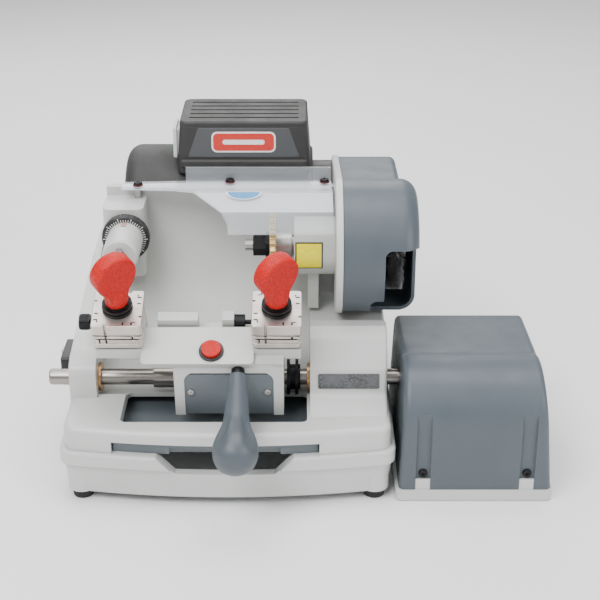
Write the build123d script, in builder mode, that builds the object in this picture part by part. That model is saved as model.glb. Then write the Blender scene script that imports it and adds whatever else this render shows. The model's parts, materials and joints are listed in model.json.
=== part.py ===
"""Key duplicating machine: a bench machine that copies flat keys.

A sprung carriage carries two four-sided clamps.  The left clamp holds the
pattern key against a tracer, the right one holds the blank against a milling
cutter, and a rack drive feeds the carriage sideways.

Frame: X to the right, Y to the back, Z up, millimetres.  The origin lies on
the bench under the middle of the whole machine.
"""

from build123d import *
import os
from math import atan, cos, degrees, pi, radians, sin

os.makedirs("parts", exist_ok=True)

# ------------------------------------------------------------ driving dimensions

# base casting, a drafted ring with a proud rim
BASE_LEFT, BASE_RIGHT = -198.0, 83.0
BASE_BACK = 168.0
BASE_FRONT = -130.0          # middle of the bowed front
FRONT_BOW = 13.0             # how far the front corners lie behind its middle
CORNER_RADIUS = 14.0
FOOT_HEIGHT = 8.0
FOOT_RADIUS = 10.0
FOOT_INSET_SIDE = 17.0
FOOT_INSET_END = 20.0
RIM_BOTTOM, RIM_TOP = 36.0, 48.0
RIM_PROUD = 2.5
BASE_DRAFT = 3.5
BASE_WALL = 5.0
NOTCH_TOP_WIDTH, NOTCH_BOTTOM_WIDTH = 116.0, 83.0
NOTCH_BOTTOM = 32.0

# body casting
BODY_INSET = 4.0
BODY_WALL = 6.0
DECK_TOP = 69.0
CHEEK_INNER = -171.0         # inner face of the left cheek
CHEEK_WIDTH = 23.0
CHEEK_LEAN = 17.0            # how far the top of the cheek leans in
SHOULDER_TOP = 172.0
WALL_TOP = 214.0             # top of the wall behind the cutter
WALL_FACE_Y = 66.0
WALL_THICKNESS = 8.0
PLATFORM_TOP = 110.0         # the motor stands on it
PLATFORM_BACK = 158.0
HOUSING_LEFT, HOUSING_RIGHT = 11.5, 77.0
HOUSING_TOP = 129.0
HOUSING_STEP = 8.0           # drop behind the brow, under the belt cover
HOUSING_FRONT = -70.0

# chip tray and the window above it
TRAY_LEFT, TRAY_RIGHT = -152.0, 18.0
TRAY_BACK = 10.0
TRAY_WALL = 2.0
TRAY_TOP = 57.5
TRAY_CLEARANCE = 1.0
WINDOW_LEFT, WINDOW_RIGHT = -147.0, 9.0
WINDOW_FRONT, WINDOW_BACK = -104.0, -42.0

# carriage shaft, its bushes and its rack drive
SHAFT_Y, SHAFT_Z = -43.0, 79.0
SHAFT_RADIUS = 7.0
SHAFT_LEFT, SHAFT_RIGHT = -214.0, 190.0
BUSH_WALL = 2.5
RUNNING_FIT = 0.05           # radial clearance of a turning or sliding fit
FEED_LEFT, FEED_RIGHT = 37.0, 5.0
MODULE = 1.5
PINION_TEETH = 12
PINION_X = 145.0
GEAR_WIDTH = 12.0
RACK_HEIGHT = 6.0

# carriage, given about the shaft in a frame that leans forward with it
LEAN = 21.0
CLAMP_SPACING = 130.0
LEFT_CLAMP_X = -146.0
CLAMP_WIDTH = 41.0
CLAMP_BACK = -5.5            # clamp axis, behind (+) or before (-) the shaft
CLAMP_SEAT = 63.5            # clamp seat above the shaft
SEAT_THICKNESS = 11.0
HUB_RADIUS = 12.5
SLEEVE_WALL = 2.5
FRAME_LEFT, FRAME_RIGHT = -101.5, -10.5
LEG_WIDTH = 8.5
TABLE_LEFT, TABLE_RIGHT = -128.0, -35.0
BUTTON_X = -70.0
BEZEL_RADIUS, BUTTON_RADIUS = 10.3, 8.0

# clamps
PEDESTAL_HEIGHT = 2.5
LOWER_JAW = 9.0
JAW_MOUTH = 1.5
UPPER_JAW = 15.0
STUD_RADIUS = 4.0
PIVOT_RADIUS, PIVOT_DEPTH = 8.0, 8.0
COLLAR_RADIUS, COLLAR_HEIGHT = 12.6, 8.0
KNOB_HEIGHT, KNOB_WIDTH, KNOB_THICKNESS = 50.0, 37.0, 13.0

# operating handle
HANDLE_X = -48.0
HANDLE_DROP = 28.5           # degrees below level
HANDLE_LENGTH = 68.0
HANDLE_BALL = 18.5
STEM_RADIUS = 3.5
FERRULE_RADIUS = 5.6

# spindle, cutter and tracer
SPINDLE_Y, SPINDLE_Z = 4.0, 183.0
CUTTER_RADIUS, CUTTER_WIDTH, CUTTER_BORE = 40.0, 5.0, 8.0
TUBE_RADIUS = 25.0
TUBE_LEFT = -2.0
BEARING_RADIUS, BEARING_WIDTH = 21.0, 12.0
SPINDLE_RADIUS = 10.0
DIAL_RADIUS, DIAL_WIDTH = 21.0, 9.0
BARREL_RADIUS = 15.5
BARREL_FRONT = -24.0
TOWER_TOP = 206.0
TOWER_WIDTH = 36.0
DIAL_FRONT = 17.0

# motor and belt drive
MOTOR_Y, MOTOR_Z = 130.0, 175.0
MOTOR_RADIUS = 54.0
MOTOR_LEFT, MOTOR_RIGHT = -98.0, 33.0
COWL_LEFT = -159.0
BELL_LEFT, BELL_RADIUS = 15.0, 40.0   # bearing bell at the belt end of the motor
FLANGE_LEFT, FLANGE_THICKNESS = 33.0, 6.0
FLANGE_RADIUS = 59.0
COVER_RADIUS = 57.5
COVER_RIGHT = 103.0
REAR_COVER_RADIUS, REAR_COVER_RIGHT = 43.0, 93.0
COVER_WALL = 3.0
OPENING_BOTTOM, OPENING_TOP = 127.0, 200.0
PULLEY_X, PULLEY_WIDTH = 55.0, 14.0
SPINDLE_PULLEY_RADIUS, MOTOR_PULLEY_RADIUS = 30.0, 22.0
BELT_WIDTH, BELT_THICKNESS, BELT_GAP = 10.0, 3.0, 0.3
BRUSH_X, BRUSH_WIDTH, BRUSH_RADIUS = 84.0, 16.0, 39.0

# terminal box on the motor
BOX_LEFT, BOX_RIGHT = -109.0, 13.0
BOX_FRONT, BOX_BACK = 87.0, 172.0
BOX_BOTTOM, BOX_TOP = 219.0, 262.0
LID_THICKNESS = 5.0
BOX_WALL = 3.0
BOX_DRAFT = 3.0              # how much each side leans in
BOX_SLOPE = 2.5              # half of the run of the sloping back
SWITCH_LENGTH, SWITCH_HEIGHT = 24.0, 24.0
SWITCH_Y, SWITCH_Z = 108.0, 246.0

# feed drive unit on the right
PLATE_LEFT, PLATE_RIGHT = 83.5, 215.0
PLATE_FRONT, PLATE_BACK = -117.0, 43.0
PLATE_THICKNESS = 10.5
DRIVE_FRONT, DRIVE_BACK = -116.0, 42.0
DRIVE_LEFT, DRIVE_RIGHT = 86.0, 214.0
DRIVE_CREST_Y, DRIVE_CREST_RADIUS = -71.0, 45.0
DRIVE_CREST_Z = 66.0
DRIVE_WALL = 1.5
DRIVE_EDGE = 5.0
CHANNELS = (106.0, 193.0)    # middles of the two channels down the cover's front
CHANNEL_WIDTH, CHANNEL_DEPTH = 12.5, 2.5
CHANNEL_TOP = 90.0
TAB_HEIGHT = 10.0

# electrical inlet on the left
INLET_Y, INLET_Z = 2.0, 70.0
INLET_PROUD = 15.0

# ------------------------------------------------------------- derived sizes

BODY_LEFT = BASE_LEFT + BODY_INSET
RIGHT_CLAMP_X = LEFT_CLAMP_X + CLAMP_SPACING
CLAMPS = (("left", LEFT_CLAMP_X), ("right", RIGHT_CLAMP_X))
TRACER_X = LEFT_CLAMP_X - 4.0
CUTTER_X = TRACER_X + CLAMP_SPACING
BUSH_RADIUS = SHAFT_RADIUS + BUSH_WALL
SLEEVE_RADIUS = SHAFT_RADIUS + SLEEVE_WALL
PINION_RADIUS = MODULE * PINION_TEETH / 2
RACK_PITCH_Z = SHAFT_Z - SHAFT_RADIUS - RACK_HEIGHT + MODULE
PINION_Z = RACK_PITCH_Z - PINION_RADIUS
JAW_SEAT = CLAMP_SEAT + PEDESTAL_HEIGHT
UPPER_JAW_SEAT = JAW_SEAT + LOWER_JAW + JAW_MOUTH
COLLAR_SEAT = UPPER_JAW_SEAT + UPPER_JAW
KNOB_SEAT = COLLAR_SEAT + COLLAR_HEIGHT
CHUTE_RADIUS = (
    (WALL_FACE_Y - WINDOW_BACK) ** 2 + (WALL_TOP - 14.0 - DECK_TOP) ** 2
) / (2 * (WALL_FACE_Y - WINDOW_BACK))
CHUTE_Y, CHUTE_Z = WALL_FACE_Y - CHUTE_RADIUS, WALL_TOP - 14.0
TUBE_RIGHT = FLANGE_LEFT
LID_DEPTH = BOX_BACK - BOX_FRONT - 2 * BOX_SLOPE - 2 * BOX_DRAFT
WALL_BACK_Y = WALL_FACE_Y + WALL_THICKNESS
FEET = [
    (x, y)
    for x in (BASE_LEFT + FOOT_INSET_SIDE, BASE_RIGHT - FOOT_INSET_SIDE)
    for y in (BASE_FRONT + FRONT_BOW + FOOT_INSET_END - 7.0, BASE_BACK - FOOT_INSET_END)
]

# the carriage frame: X along the shaft, Y back and Z up, leaning forward
LEAN_SIN, LEAN_COS = sin(radians(LEAN)), cos(radians(LEAN))
CARRIAGE = Plane(
    origin=(0, SHAFT_Y, SHAFT_Z), x_dir=(1, 0, 0), z_dir=(0, -LEAN_SIN, LEAN_COS)
)


def carriage_side(x):
    """Plane across the carriage at x, with its first axis back and its second up."""
    return Plane(
        origin=(x, SHAFT_Y, SHAFT_Z), x_dir=(0, LEAN_COS, LEAN_SIN), z_dir=(1, 0, 0)
    )


def axis_plane(x, y, z):
    """Plane across a line along X, with Y as its first axis and Z as its second."""
    return Plane(origin=(x, y, z), x_dir=(0, 1, 0), z_dir=(1, 0, 0))


def plan_outline(inset):
    """Plan of base and body: straight sides and back, bowed front, round corners."""
    left, right = BASE_LEFT + inset, BASE_RIGHT - inset
    front, back = BASE_FRONT + inset, BASE_BACK - inset
    with BuildSketch() as outline:
        with BuildLine():
            ThreePointArc(
                (left, front + FRONT_BOW), ((left + right) / 2, front), (right, front + FRONT_BOW)
            )
            Polyline(
                (right, front + FRONT_BOW), (right, back), (left, back), (left, front + FRONT_BOW)
            )
        make_face()
        fillet(outline.vertices(), CORNER_RADIUS - inset / 2)
    return outline.sketch


def two_circle_hull(front_radius, rear_radius):
    """Outline round the spindle and the motor axis, as a belt or its cover lies."""
    with BuildSketch() as outline:
        with Locations((SPINDLE_Y, SPINDLE_Z)):
            Circle(front_radius)
        with Locations((MOTOR_Y, MOTOR_Z)):
            Circle(rear_radius)
        make_hull()
    return outline.sketch


def screw(plane, shank_radius, shank, head_radius, head):
    """Button-head screw: the head stands on the plane and the shank goes below it."""
    with BuildPart(plane) as body:
        Cylinder(shank_radius, shank, align=(Align.CENTER, Align.CENTER, Align.MAX))
        Cylinder(head_radius, head, align=(Align.CENTER, Align.CENTER, Align.MIN))
        fillet(body.faces().sort_by(Axis(plane.origin, plane.z_dir))[-1].edges(), head * 0.45)
        with BuildSketch(plane.offset(head)):
            RegularPolygon(head_radius * 0.42, 6)
        extrude(amount=-head * 0.6, mode=Mode.SUBTRACT)
    return body.part


# ---------------------------------------------------------------- base casting

with BuildPart() as base_casting:
    with BuildSketch(Plane.XY.offset(FOOT_HEIGHT)):
        add(plan_outline(RIM_PROUD + BASE_DRAFT))
    with BuildSketch(Plane.XY.offset(RIM_BOTTOM)):
        add(plan_outline(RIM_PROUD))
    loft(ruled=True)
    with BuildSketch(Plane.XY.offset(RIM_BOTTOM)):
        add(plan_outline(0))
    extrude(amount=RIM_TOP - RIM_BOTTOM)
    fillet(base_casting.edges().group_by(Axis.Z)[-1], 2.0)
    with BuildSketch(Plane.XY.offset(FOOT_HEIGHT)):
        add(plan_outline(RIM_PROUD + BASE_DRAFT + BASE_WALL))
    extrude(amount=RIM_TOP, mode=Mode.SUBTRACT)
    # rails that the chip tray slides on
    for rail_x in (TRAY_LEFT, TRAY_RIGHT):
        with BuildSketch(Plane.XY.offset(RIM_TOP)):
            with Locations((rail_x, (BASE_FRONT + BASE_WALL + TRAY_BACK) / 2 + 8)):
                Rectangle(14, TRAY_BACK - BASE_FRONT - BASE_WALL - 16)
        extrude(amount=-5)
    # bar that ties the rails and the side walls together
    with BuildSketch(Plane.XY.offset(FOOT_HEIGHT + 2)):
        with Locations(((BASE_LEFT + BASE_RIGHT) / 2, TRAY_BACK + 6)):
            Rectangle(BASE_RIGHT - BASE_LEFT - 14, 12)
    extrude(amount=RIM_TOP - FOOT_HEIGHT - 2)
    # bosses over the feet
    with BuildSketch(Plane.XY.offset(FOOT_HEIGHT)):
        with Locations(*FEET):
            Circle(FOOT_RADIUS + 2)
    extrude(amount=RIM_BOTTOM - FOOT_HEIGHT)
    # finger notch below the tray front
    with BuildSketch(Plane.XZ.offset(-BASE_FRONT - 25)):
        with BuildLine():
            notch_x = (TRAY_LEFT + TRAY_RIGHT) / 2 + 8
            Polyline(
                (notch_x - NOTCH_TOP_WIDTH / 2, RIM_TOP + 1),
                (notch_x - NOTCH_BOTTOM_WIDTH / 2, NOTCH_BOTTOM),
                (notch_x + NOTCH_BOTTOM_WIDTH / 2, NOTCH_BOTTOM),
                (notch_x + NOTCH_TOP_WIDTH / 2, RIM_TOP + 1),
                close=True,
            )
        make_face()
    extrude(amount=40, mode=Mode.SUBTRACT)
base_casting.part.label = "base_casting"
export_step(base_casting.part, "parts/base_casting.step")

with BuildPart() as rubber_feet:
    with Locations(*[(x, y, 0) for x, y in FEET]):
        Cone(
            FOOT_RADIUS - 1.5, FOOT_RADIUS, FOOT_HEIGHT,
            align=(Align.CENTER, Align.CENTER, Align.MIN),
        )
rubber_feet.part.label = "rubber_feet"
export_step(rubber_feet.part, "parts/rubber_feet.step")

# ---------------------------------------------------------------- body casting


def chute_profile():
    """Side view of the wall behind the carriage: a quarter-round chute."""
    with BuildSketch() as profile:
        with BuildLine():
            mid = radians(-50)
            ThreePointArc(
                (WINDOW_BACK, DECK_TOP),
                (CHUTE_Y + CHUTE_RADIUS * cos(mid), CHUTE_Z + CHUTE_RADIUS * sin(mid)),
                (WALL_FACE_Y, CHUTE_Z),
            )
            Polyline(
                (WALL_FACE_Y, CHUTE_Z),
                (WALL_FACE_Y, WALL_TOP),
                (WALL_FACE_Y + WALL_THICKNESS, WALL_TOP),
                (WALL_FACE_Y + WALL_THICKNESS, PLATFORM_TOP),
                (PLATFORM_BACK, PLATFORM_TOP),
                (PLATFORM_BACK, RIM_TOP),
                (WINDOW_BACK, RIM_TOP),
                (WINDOW_BACK, DECK_TOP),
            )
        make_face()
    return profile.sketch


def cheek_profile():
    """Side view of the left cheek: a bearing block in front, a shoulder behind."""
    with BuildSketch() as profile:
        with BuildLine():
            Polyline(
                (SHAFT_Y - 20, RIM_TOP),
                (SHAFT_Y - 20, SHAFT_Z + 17),
                (SHAFT_Y - 4, SHAFT_Z + 27),
                (10, SHOULDER_TOP),
                (WALL_FACE_Y + WALL_THICKNESS, SHOULDER_TOP + 6),
                (PLATFORM_BACK, PLATFORM_TOP),
                (PLATFORM_BACK, RIM_TOP),
                close=True,
            )
        make_face()
        fillet(profile.vertices().group_by(Axis.Y)[1:-1], 9)
    return profile.sketch


def housing_profile():
    """Side view of the right housing, with a rounded brow over its badge face."""
    with BuildSketch() as profile:
        with BuildLine():
            Polyline(
                (HOUSING_FRONT - 28, RIM_TOP),
                (HOUSING_FRONT - 28, DECK_TOP - 1),
                (HOUSING_FRONT - 1, DECK_TOP + 8),
                (HOUSING_FRONT + 1, DECK_TOP + 30),
                (HOUSING_FRONT + 14, DECK_TOP + 53),
                (HOUSING_FRONT + 25, HOUSING_TOP),
                (HOUSING_FRONT + 36, HOUSING_TOP),
                (HOUSING_FRONT + 40, HOUSING_TOP - HOUSING_STEP),
                (WALL_FACE_Y + WALL_THICKNESS, HOUSING_TOP - HOUSING_STEP),
                (WALL_FACE_Y + WALL_THICKNESS, RIM_TOP),
                close=True,
            )
        make_face()
        brow = profile.vertices().filter_by(
            lambda v: DECK_TOP + 7 < v.Y < HOUSING_TOP - 1 and v.X < HOUSING_FRONT + 20
        )
        fillet(brow, 6)
    return profile.sketch


with BuildPart() as body_casting:
    # deck
    with BuildSketch(Plane.XY.offset(RIM_TOP)):
        add(plan_outline(BODY_INSET))
    extrude(amount=DECK_TOP - RIM_TOP)
    front_crease = (
        body_casting.edges().group_by(Axis.Z)[-1].filter_by(lambda e: e.center().Y < WINDOW_FRONT)
    )
    fillet(front_crease, 5)
    # chute and the wall behind the cutter
    with BuildSketch(Plane.YZ.offset(CHEEK_INNER)):
        add(chute_profile())
    extrude(amount=FLANGE_LEFT - CHEEK_INNER)
    # right housing
    with BuildSketch(Plane.YZ.offset(HOUSING_LEFT)):
        add(housing_profile())
    extrude(amount=HOUSING_RIGHT - HOUSING_LEFT)
    brow_edges = body_casting.edges().filter_by_position(
        Axis.X, HOUSING_RIGHT - 0.1, HOUSING_RIGHT + 0.1
    )
    fillet(
        brow_edges.filter_by(
            lambda e: e.center().Z > DECK_TOP + 3 and e.center().Y < WALL_FACE_Y
        ),
        3,
    )
    # left cheek, leaning in
    with BuildSketch(Plane.YZ.offset(CHEEK_INNER)):
        add(cheek_profile())
    extrude(amount=-CHEEK_WIDTH)
    with BuildSketch(Plane.XZ.offset(-PLATFORM_BACK - 10)):
        with BuildLine():
            Polyline(
                (BODY_LEFT - 1, SHAFT_Z + 24),
                (CHEEK_INNER - CHEEK_WIDTH, SHAFT_Z + 24),
                (CHEEK_INNER - CHEEK_WIDTH + CHEEK_LEAN + 2, SHOULDER_TOP + 12),
                (BODY_LEFT - 1, SHOULDER_TOP + 12),
                close=True,
            )
        make_face()
    extrude(amount=PLATFORM_BACK - SHAFT_Y + 50, mode=Mode.SUBTRACT)
    # tower that holds the tracer barrel
    with BuildSketch(Plane.XY.offset(SHOULDER_TOP - 30)):
        with Locations((CHEEK_INNER + TOWER_WIDTH / 2, (DIAL_FRONT + DIAL_WIDTH + 3 + WALL_BACK_Y) / 2)):
            RectangleRounded(TOWER_WIDTH, WALL_BACK_Y - DIAL_FRONT - DIAL_WIDTH - 3, 7)
    extrude(amount=TOWER_TOP - SHOULDER_TOP + 30)
    # spindle tube and the rib below it
    with BuildSketch(axis_plane(TUBE_LEFT, SPINDLE_Y, SPINDLE_Z)):
        Circle(TUBE_RADIUS)
    extrude(amount=TUBE_RIGHT - TUBE_LEFT)
    with BuildSketch(Plane.XY.offset(HOUSING_TOP - 4)):
        with Locations((TUBE_LEFT + 16.5, (SPINDLE_Y + WALL_FACE_Y) / 2)):
            Rectangle(9.5, WALL_FACE_Y - SPINDLE_Y + 10)
    extrude(amount=SPINDLE_Z - HOUSING_TOP)
    # trough that clears the carriage hub
    with BuildSketch(axis_plane(CHEEK_INNER, SHAFT_Y, SHAFT_Z)):
        Circle(HUB_RADIUS + 4)
    extrude(amount=HOUSING_LEFT - CHEEK_INNER, mode=Mode.SUBTRACT)
    # window over the chip tray, and the tray's own space
    with BuildSketch(Plane.XY.offset(RIM_TOP)):
        with Locations(((WINDOW_LEFT + WINDOW_RIGHT) / 2, (WINDOW_FRONT + WINDOW_BACK) / 2)):
            RectangleRounded(WINDOW_RIGHT - WINDOW_LEFT, WINDOW_BACK - WINDOW_FRONT, 5)
    extrude(amount=DECK_TOP - RIM_TOP + 1, mode=Mode.SUBTRACT)
    with BuildSketch(Plane.XY.offset(RIM_TOP)):
        with Locations(((TRAY_LEFT + TRAY_RIGHT) / 2, (BASE_FRONT - 10 + TRAY_BACK) / 2 + 1)):
            Rectangle(
                TRAY_RIGHT - TRAY_LEFT + 2 * TRAY_CLEARANCE, TRAY_BACK - BASE_FRONT + 12
            )
    extrude(amount=TRAY_TOP + TRAY_CLEARANCE - RIM_TOP, mode=Mode.SUBTRACT)
    # hollow under the platform
    with BuildSketch(Plane.XY.offset(RIM_TOP)):
        with Locations(((CHEEK_INNER + FLANGE_LEFT) / 2, (TRAY_BACK + 24 + PLATFORM_BACK) / 2)):
            Rectangle(
                FLANGE_LEFT - CHEEK_INNER - 2 * BODY_WALL, PLATFORM_BACK - TRAY_BACK - 24 - 14
            )
    extrude(amount=PLATFORM_TOP - RIM_TOP - BODY_WALL, mode=Mode.SUBTRACT)
    # bores: shaft bushes, spindle bearings, tracer barrel
    for bush_x, bush_end in ((CHEEK_INNER - CHEEK_WIDTH - 5, CHEEK_INNER + 1),
                             (HOUSING_LEFT - 1, HOUSING_RIGHT + 1)):
        with BuildSketch(axis_plane(bush_x, SHAFT_Y, SHAFT_Z)):
            Circle(BUSH_RADIUS)
        extrude(amount=bush_end - bush_x, mode=Mode.SUBTRACT)
    with BuildSketch(axis_plane(TUBE_LEFT - 1, SPINDLE_Y, SPINDLE_Z)):
        Circle(BEARING_RADIUS)
    extrude(amount=TUBE_RIGHT - TUBE_LEFT + 2, mode=Mode.SUBTRACT)
    with BuildSketch(Plane(origin=(TRACER_X, -1, SPINDLE_Z), z_dir=(0, 1, 0))):
        Circle(BARREL_RADIUS)
    extrude(amount=60, mode=Mode.SUBTRACT)
body_casting.part.label = "body_casting"
export_step(body_casting.part, "parts/body_casting.step")

with BuildPart() as shaft_bushes:
    for bush_x, bush_end in ((CHEEK_INNER - CHEEK_WIDTH + 1, CHEEK_INNER + 2.5),
                             (HOUSING_LEFT - 2.5, HOUSING_RIGHT)):
        with BuildSketch(axis_plane(bush_x, SHAFT_Y, SHAFT_Z)):
            Circle(BUSH_RADIUS)
            Circle(SHAFT_RADIUS + RUNNING_FIT, mode=Mode.SUBTRACT)
        extrude(amount=bush_end - bush_x)
    for lip_x, lip_end in ((CHEEK_INNER, CHEEK_INNER + 2.5), (HOUSING_LEFT - 2.5, HOUSING_LEFT)):
        with BuildSketch(axis_plane(lip_x, SHAFT_Y, SHAFT_Z)):
            Circle(BUSH_RADIUS + 3)
            Circle(SHAFT_RADIUS + RUNNING_FIT, mode=Mode.SUBTRACT)
        extrude(amount=lip_end - lip_x)
shaft_bushes.part.label = "shaft_bushes"
export_step(shaft_bushes.part, "parts/shaft_bushes.step")

# ------------------------------------------------------------------- chip tray

with BuildPart() as chip_tray:
    with BuildSketch(Plane.XY.offset(RIM_TOP)):
        with Locations(((TRAY_LEFT + TRAY_RIGHT) / 2, (BASE_FRONT + TRAY_BACK) / 2)):
            Rectangle(TRAY_RIGHT - TRAY_LEFT, TRAY_BACK - BASE_FRONT)
    extrude(amount=TRAY_TOP - RIM_TOP)
    with BuildSketch(Plane.XY.offset(RIM_TOP)):
        add(plan_outline(BODY_INSET + 4))
    extrude(amount=TRAY_TOP - RIM_TOP, mode=Mode.INTERSECT)
    with BuildSketch(Plane.XY.offset(RIM_TOP + TRAY_WALL)):
        with Locations(((TRAY_LEFT + TRAY_RIGHT) / 2, (WINDOW_FRONT - 6 + TRAY_BACK) / 2)):
            RectangleRounded(
                TRAY_RIGHT - TRAY_LEFT - 2 * TRAY_WALL, TRAY_BACK - WINDOW_FRONT + 6 - 2 * TRAY_WALL, 4
            )
    extrude(amount=TRAY_TOP - RIM_TOP, mode=Mode.SUBTRACT)
    # stepped finger recess along the lower edge of the front
    with BuildSketch(Plane.XY.offset(RIM_TOP)):
        with Locations(((TRAY_LEFT + TRAY_RIGHT) / 2 + 8, BASE_FRONT)):
            Rectangle(NOTCH_TOP_WIDTH - 24, 26)
    extrude(amount=6, mode=Mode.SUBTRACT)
chip_tray.part.label = "chip_tray"
export_step(chip_tray.part, "parts/chip_tray.step")

# ---------------------------------------------- carriage shaft and its feed drive

RACK_LEFT = PINION_X - FEED_RIGHT - 4 * MODULE
RACK_RIGHT = PINION_X + FEED_LEFT + 4 * MODULE
GEAR_PITCH = MODULE * pi

with BuildPart() as carriage_shaft:
    with BuildSketch(axis_plane(SHAFT_LEFT, SHAFT_Y, SHAFT_Z)):
        Circle(SHAFT_RADIUS)
    extrude(amount=SHAFT_RIGHT - SHAFT_LEFT)
    chamfer(carriage_shaft.edges().filter_by(GeomType.CIRCLE), 1.2)
carriage_shaft.part.label = "carriage_shaft"
export_step(carriage_shaft.part, "parts/carriage_shaft.step")

with BuildPart() as feed_rack:
    with BuildSketch(Plane.XZ.offset(-SHAFT_Y - GEAR_WIDTH / 2)):
        with Locations(((RACK_LEFT + RACK_RIGHT) / 2, (RACK_PITCH_Z + MODULE + SHAFT_Z) / 2)):
            Rectangle(RACK_RIGHT - RACK_LEFT, SHAFT_Z - RACK_PITCH_Z - MODULE)
    extrude(amount=GEAR_WIDTH)
    with BuildSketch(Plane.XZ.offset(-SHAFT_Y - GEAR_WIDTH / 2)):
        first_tooth = int((RACK_LEFT - PINION_X) / GEAR_PITCH)
        last_tooth = int((RACK_RIGHT - PINION_X) / GEAR_PITCH)
        for tooth in range(first_tooth, last_tooth):
            tooth_x = PINION_X + (tooth + 0.5) * GEAR_PITCH
            with BuildLine():
                Polyline(
                    (tooth_x - GEAR_PITCH * 0.33, RACK_PITCH_Z + MODULE * 1.2),
                    (tooth_x - GEAR_PITCH * 0.12, RACK_PITCH_Z - MODULE * 0.75),
                    (tooth_x + GEAR_PITCH * 0.12, RACK_PITCH_Z - MODULE * 0.75),
                    (tooth_x + GEAR_PITCH * 0.33, RACK_PITCH_Z + MODULE * 1.2),
                    close=True,
                )
            make_face()
    extrude(amount=GEAR_WIDTH)
    with BuildSketch(axis_plane(RACK_LEFT - 1, SHAFT_Y, SHAFT_Z)):
        Circle(SHAFT_RADIUS)
    extrude(amount=RACK_RIGHT - RACK_LEFT + 2, mode=Mode.SUBTRACT)
feed_rack.part.label = "feed_rack"
export_step(feed_rack.part, "parts/feed_rack.step")

with BuildPart() as feed_pinion:
    pinion_plane = Plane(
        origin=(PINION_X, SHAFT_Y - GEAR_WIDTH / 2, PINION_Z), x_dir=(0, 0, 1), z_dir=(0, 1, 0)
    )
    with BuildSketch(pinion_plane):
        Circle(PINION_RADIUS - MODULE * 1.1)
    extrude(amount=GEAR_WIDTH)
    with BuildSketch(pinion_plane):
        for tooth in range(PINION_TEETH):
            with PolarLocations(0, 1, start_angle=360 * tooth / PINION_TEETH):
                Polygon(
                    (PINION_RADIUS - MODULE * 1.3, -GEAR_PITCH * 0.24),
                    (PINION_RADIUS + MODULE * 0.75, -GEAR_PITCH * 0.11),
                    (PINION_RADIUS + MODULE * 0.75, GEAR_PITCH * 0.11),
                    (PINION_RADIUS - MODULE * 1.3, GEAR_PITCH * 0.24),
                    align=None,
                )
    extrude(amount=GEAR_WIDTH)
    with BuildSketch(pinion_plane):
        Circle(4)
    extrude(amount=-14)
feed_pinion.part.label = "feed_pinion"
export_step(feed_pinion.part, "parts/feed_pinion.step")

MOTOR_FACE_Y = SHAFT_Y - GEAR_WIDTH / 2 - 3

with BuildPart() as feed_motor:
    with BuildSketch(Plane.XZ.offset(-MOTOR_FACE_Y)):
        with Locations((PINION_X, PINION_Z)):
            RectangleRounded(42, 42, 4)
    extrude(amount=48)
    with BuildSketch(Plane.XZ.offset(-MOTOR_FACE_Y)):
        with Locations((PINION_X, PINION_Z)):
            Circle(4 + RUNNING_FIT)
    extrude(amount=14, mode=Mode.SUBTRACT)
feed_motor.part.label = "feed_motor"
export_step(feed_motor.part, "parts/feed_motor.step")

with BuildPart() as shaft_collars:
    collar_x = FRAME_RIGHT + 2.2
    for collar in range(2):
        with BuildSketch(axis_plane(collar_x + collar * 7.2, SHAFT_Y, SHAFT_Z)):
            Circle(15.5)
            Circle(SHAFT_RADIUS, mode=Mode.SUBTRACT)
        extrude(amount=2.6)
        with BuildSketch(axis_plane(collar_x + collar * 7.2, SHAFT_Y, SHAFT_Z)):
            Circle(11)
            Circle(SHAFT_RADIUS, mode=Mode.SUBTRACT)
        extrude(amount=7.2 if collar == 0 else 4.4)
shaft_collars.part.label = "shaft_collars"
export_step(shaft_collars.part, "parts/shaft_collars.step")

# -------------------------------------------------------------------- carriage

TABLE_PROFILE = (
    (-38, CLAMP_SEAT - 4),
    (-36, CLAMP_SEAT - 11),
    (0, CLAMP_SEAT - 7),
    (0, CLAMP_SEAT + 1),
)
TABLE_TILT = degrees(atan(5 / 38))  # the table drops this much towards the front
BEAM_TOP = CLAMP_SEAT - 9.5
BEAM_THICKNESS = 7.0
FRONT_TOP = (-35, CLAMP_SEAT - 9)
FRONT_FOOT = (-46, 4)
FRAME_DEPTH = 9.0
SET_SCREW_BACK, SET_SCREW_UP = 8.0, CLAMP_SEAT - 2.5
SET_SCREW_RADIUS, SET_SCREW_SHANK = 6.5, 2.0
SET_SCREW_REACH = 27.0       # from the clamp axis to the screw head
PLATE_SCREW_RADIUS = 1.5
BUTTON_BACK = -25.5


def leaning_point(x, back, up):
    """World place of a point given in the carriage frame."""
    return (
        x,
        SHAFT_Y + back * LEAN_COS - up * LEAN_SIN,
        SHAFT_Z + back * LEAN_SIN + up * LEAN_COS,
    )


BUTTON_LEAN = radians(LEAN + TABLE_TILT)
BUTTON_UP = CLAMP_SEAT - 4 + (BUTTON_BACK + 38) * 5 / 38
BUTTON_PLANE = Plane(
    origin=leaning_point(BUTTON_X, BUTTON_BACK, BUTTON_UP),
    x_dir=(1, 0, 0),
    z_dir=(0, -sin(BUTTON_LEAN), cos(BUTTON_LEAN)),
)
HANDLE_PLANE = Plane(
    origin=leaning_point(HANDLE_X, FRONT_TOP[0] - 1.2, FRONT_TOP[1] - 4),
    x_dir=(1, 0, 0),
    z_dir=(0, -cos(radians(HANDLE_DROP)), -sin(radians(HANDLE_DROP))),
)


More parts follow.
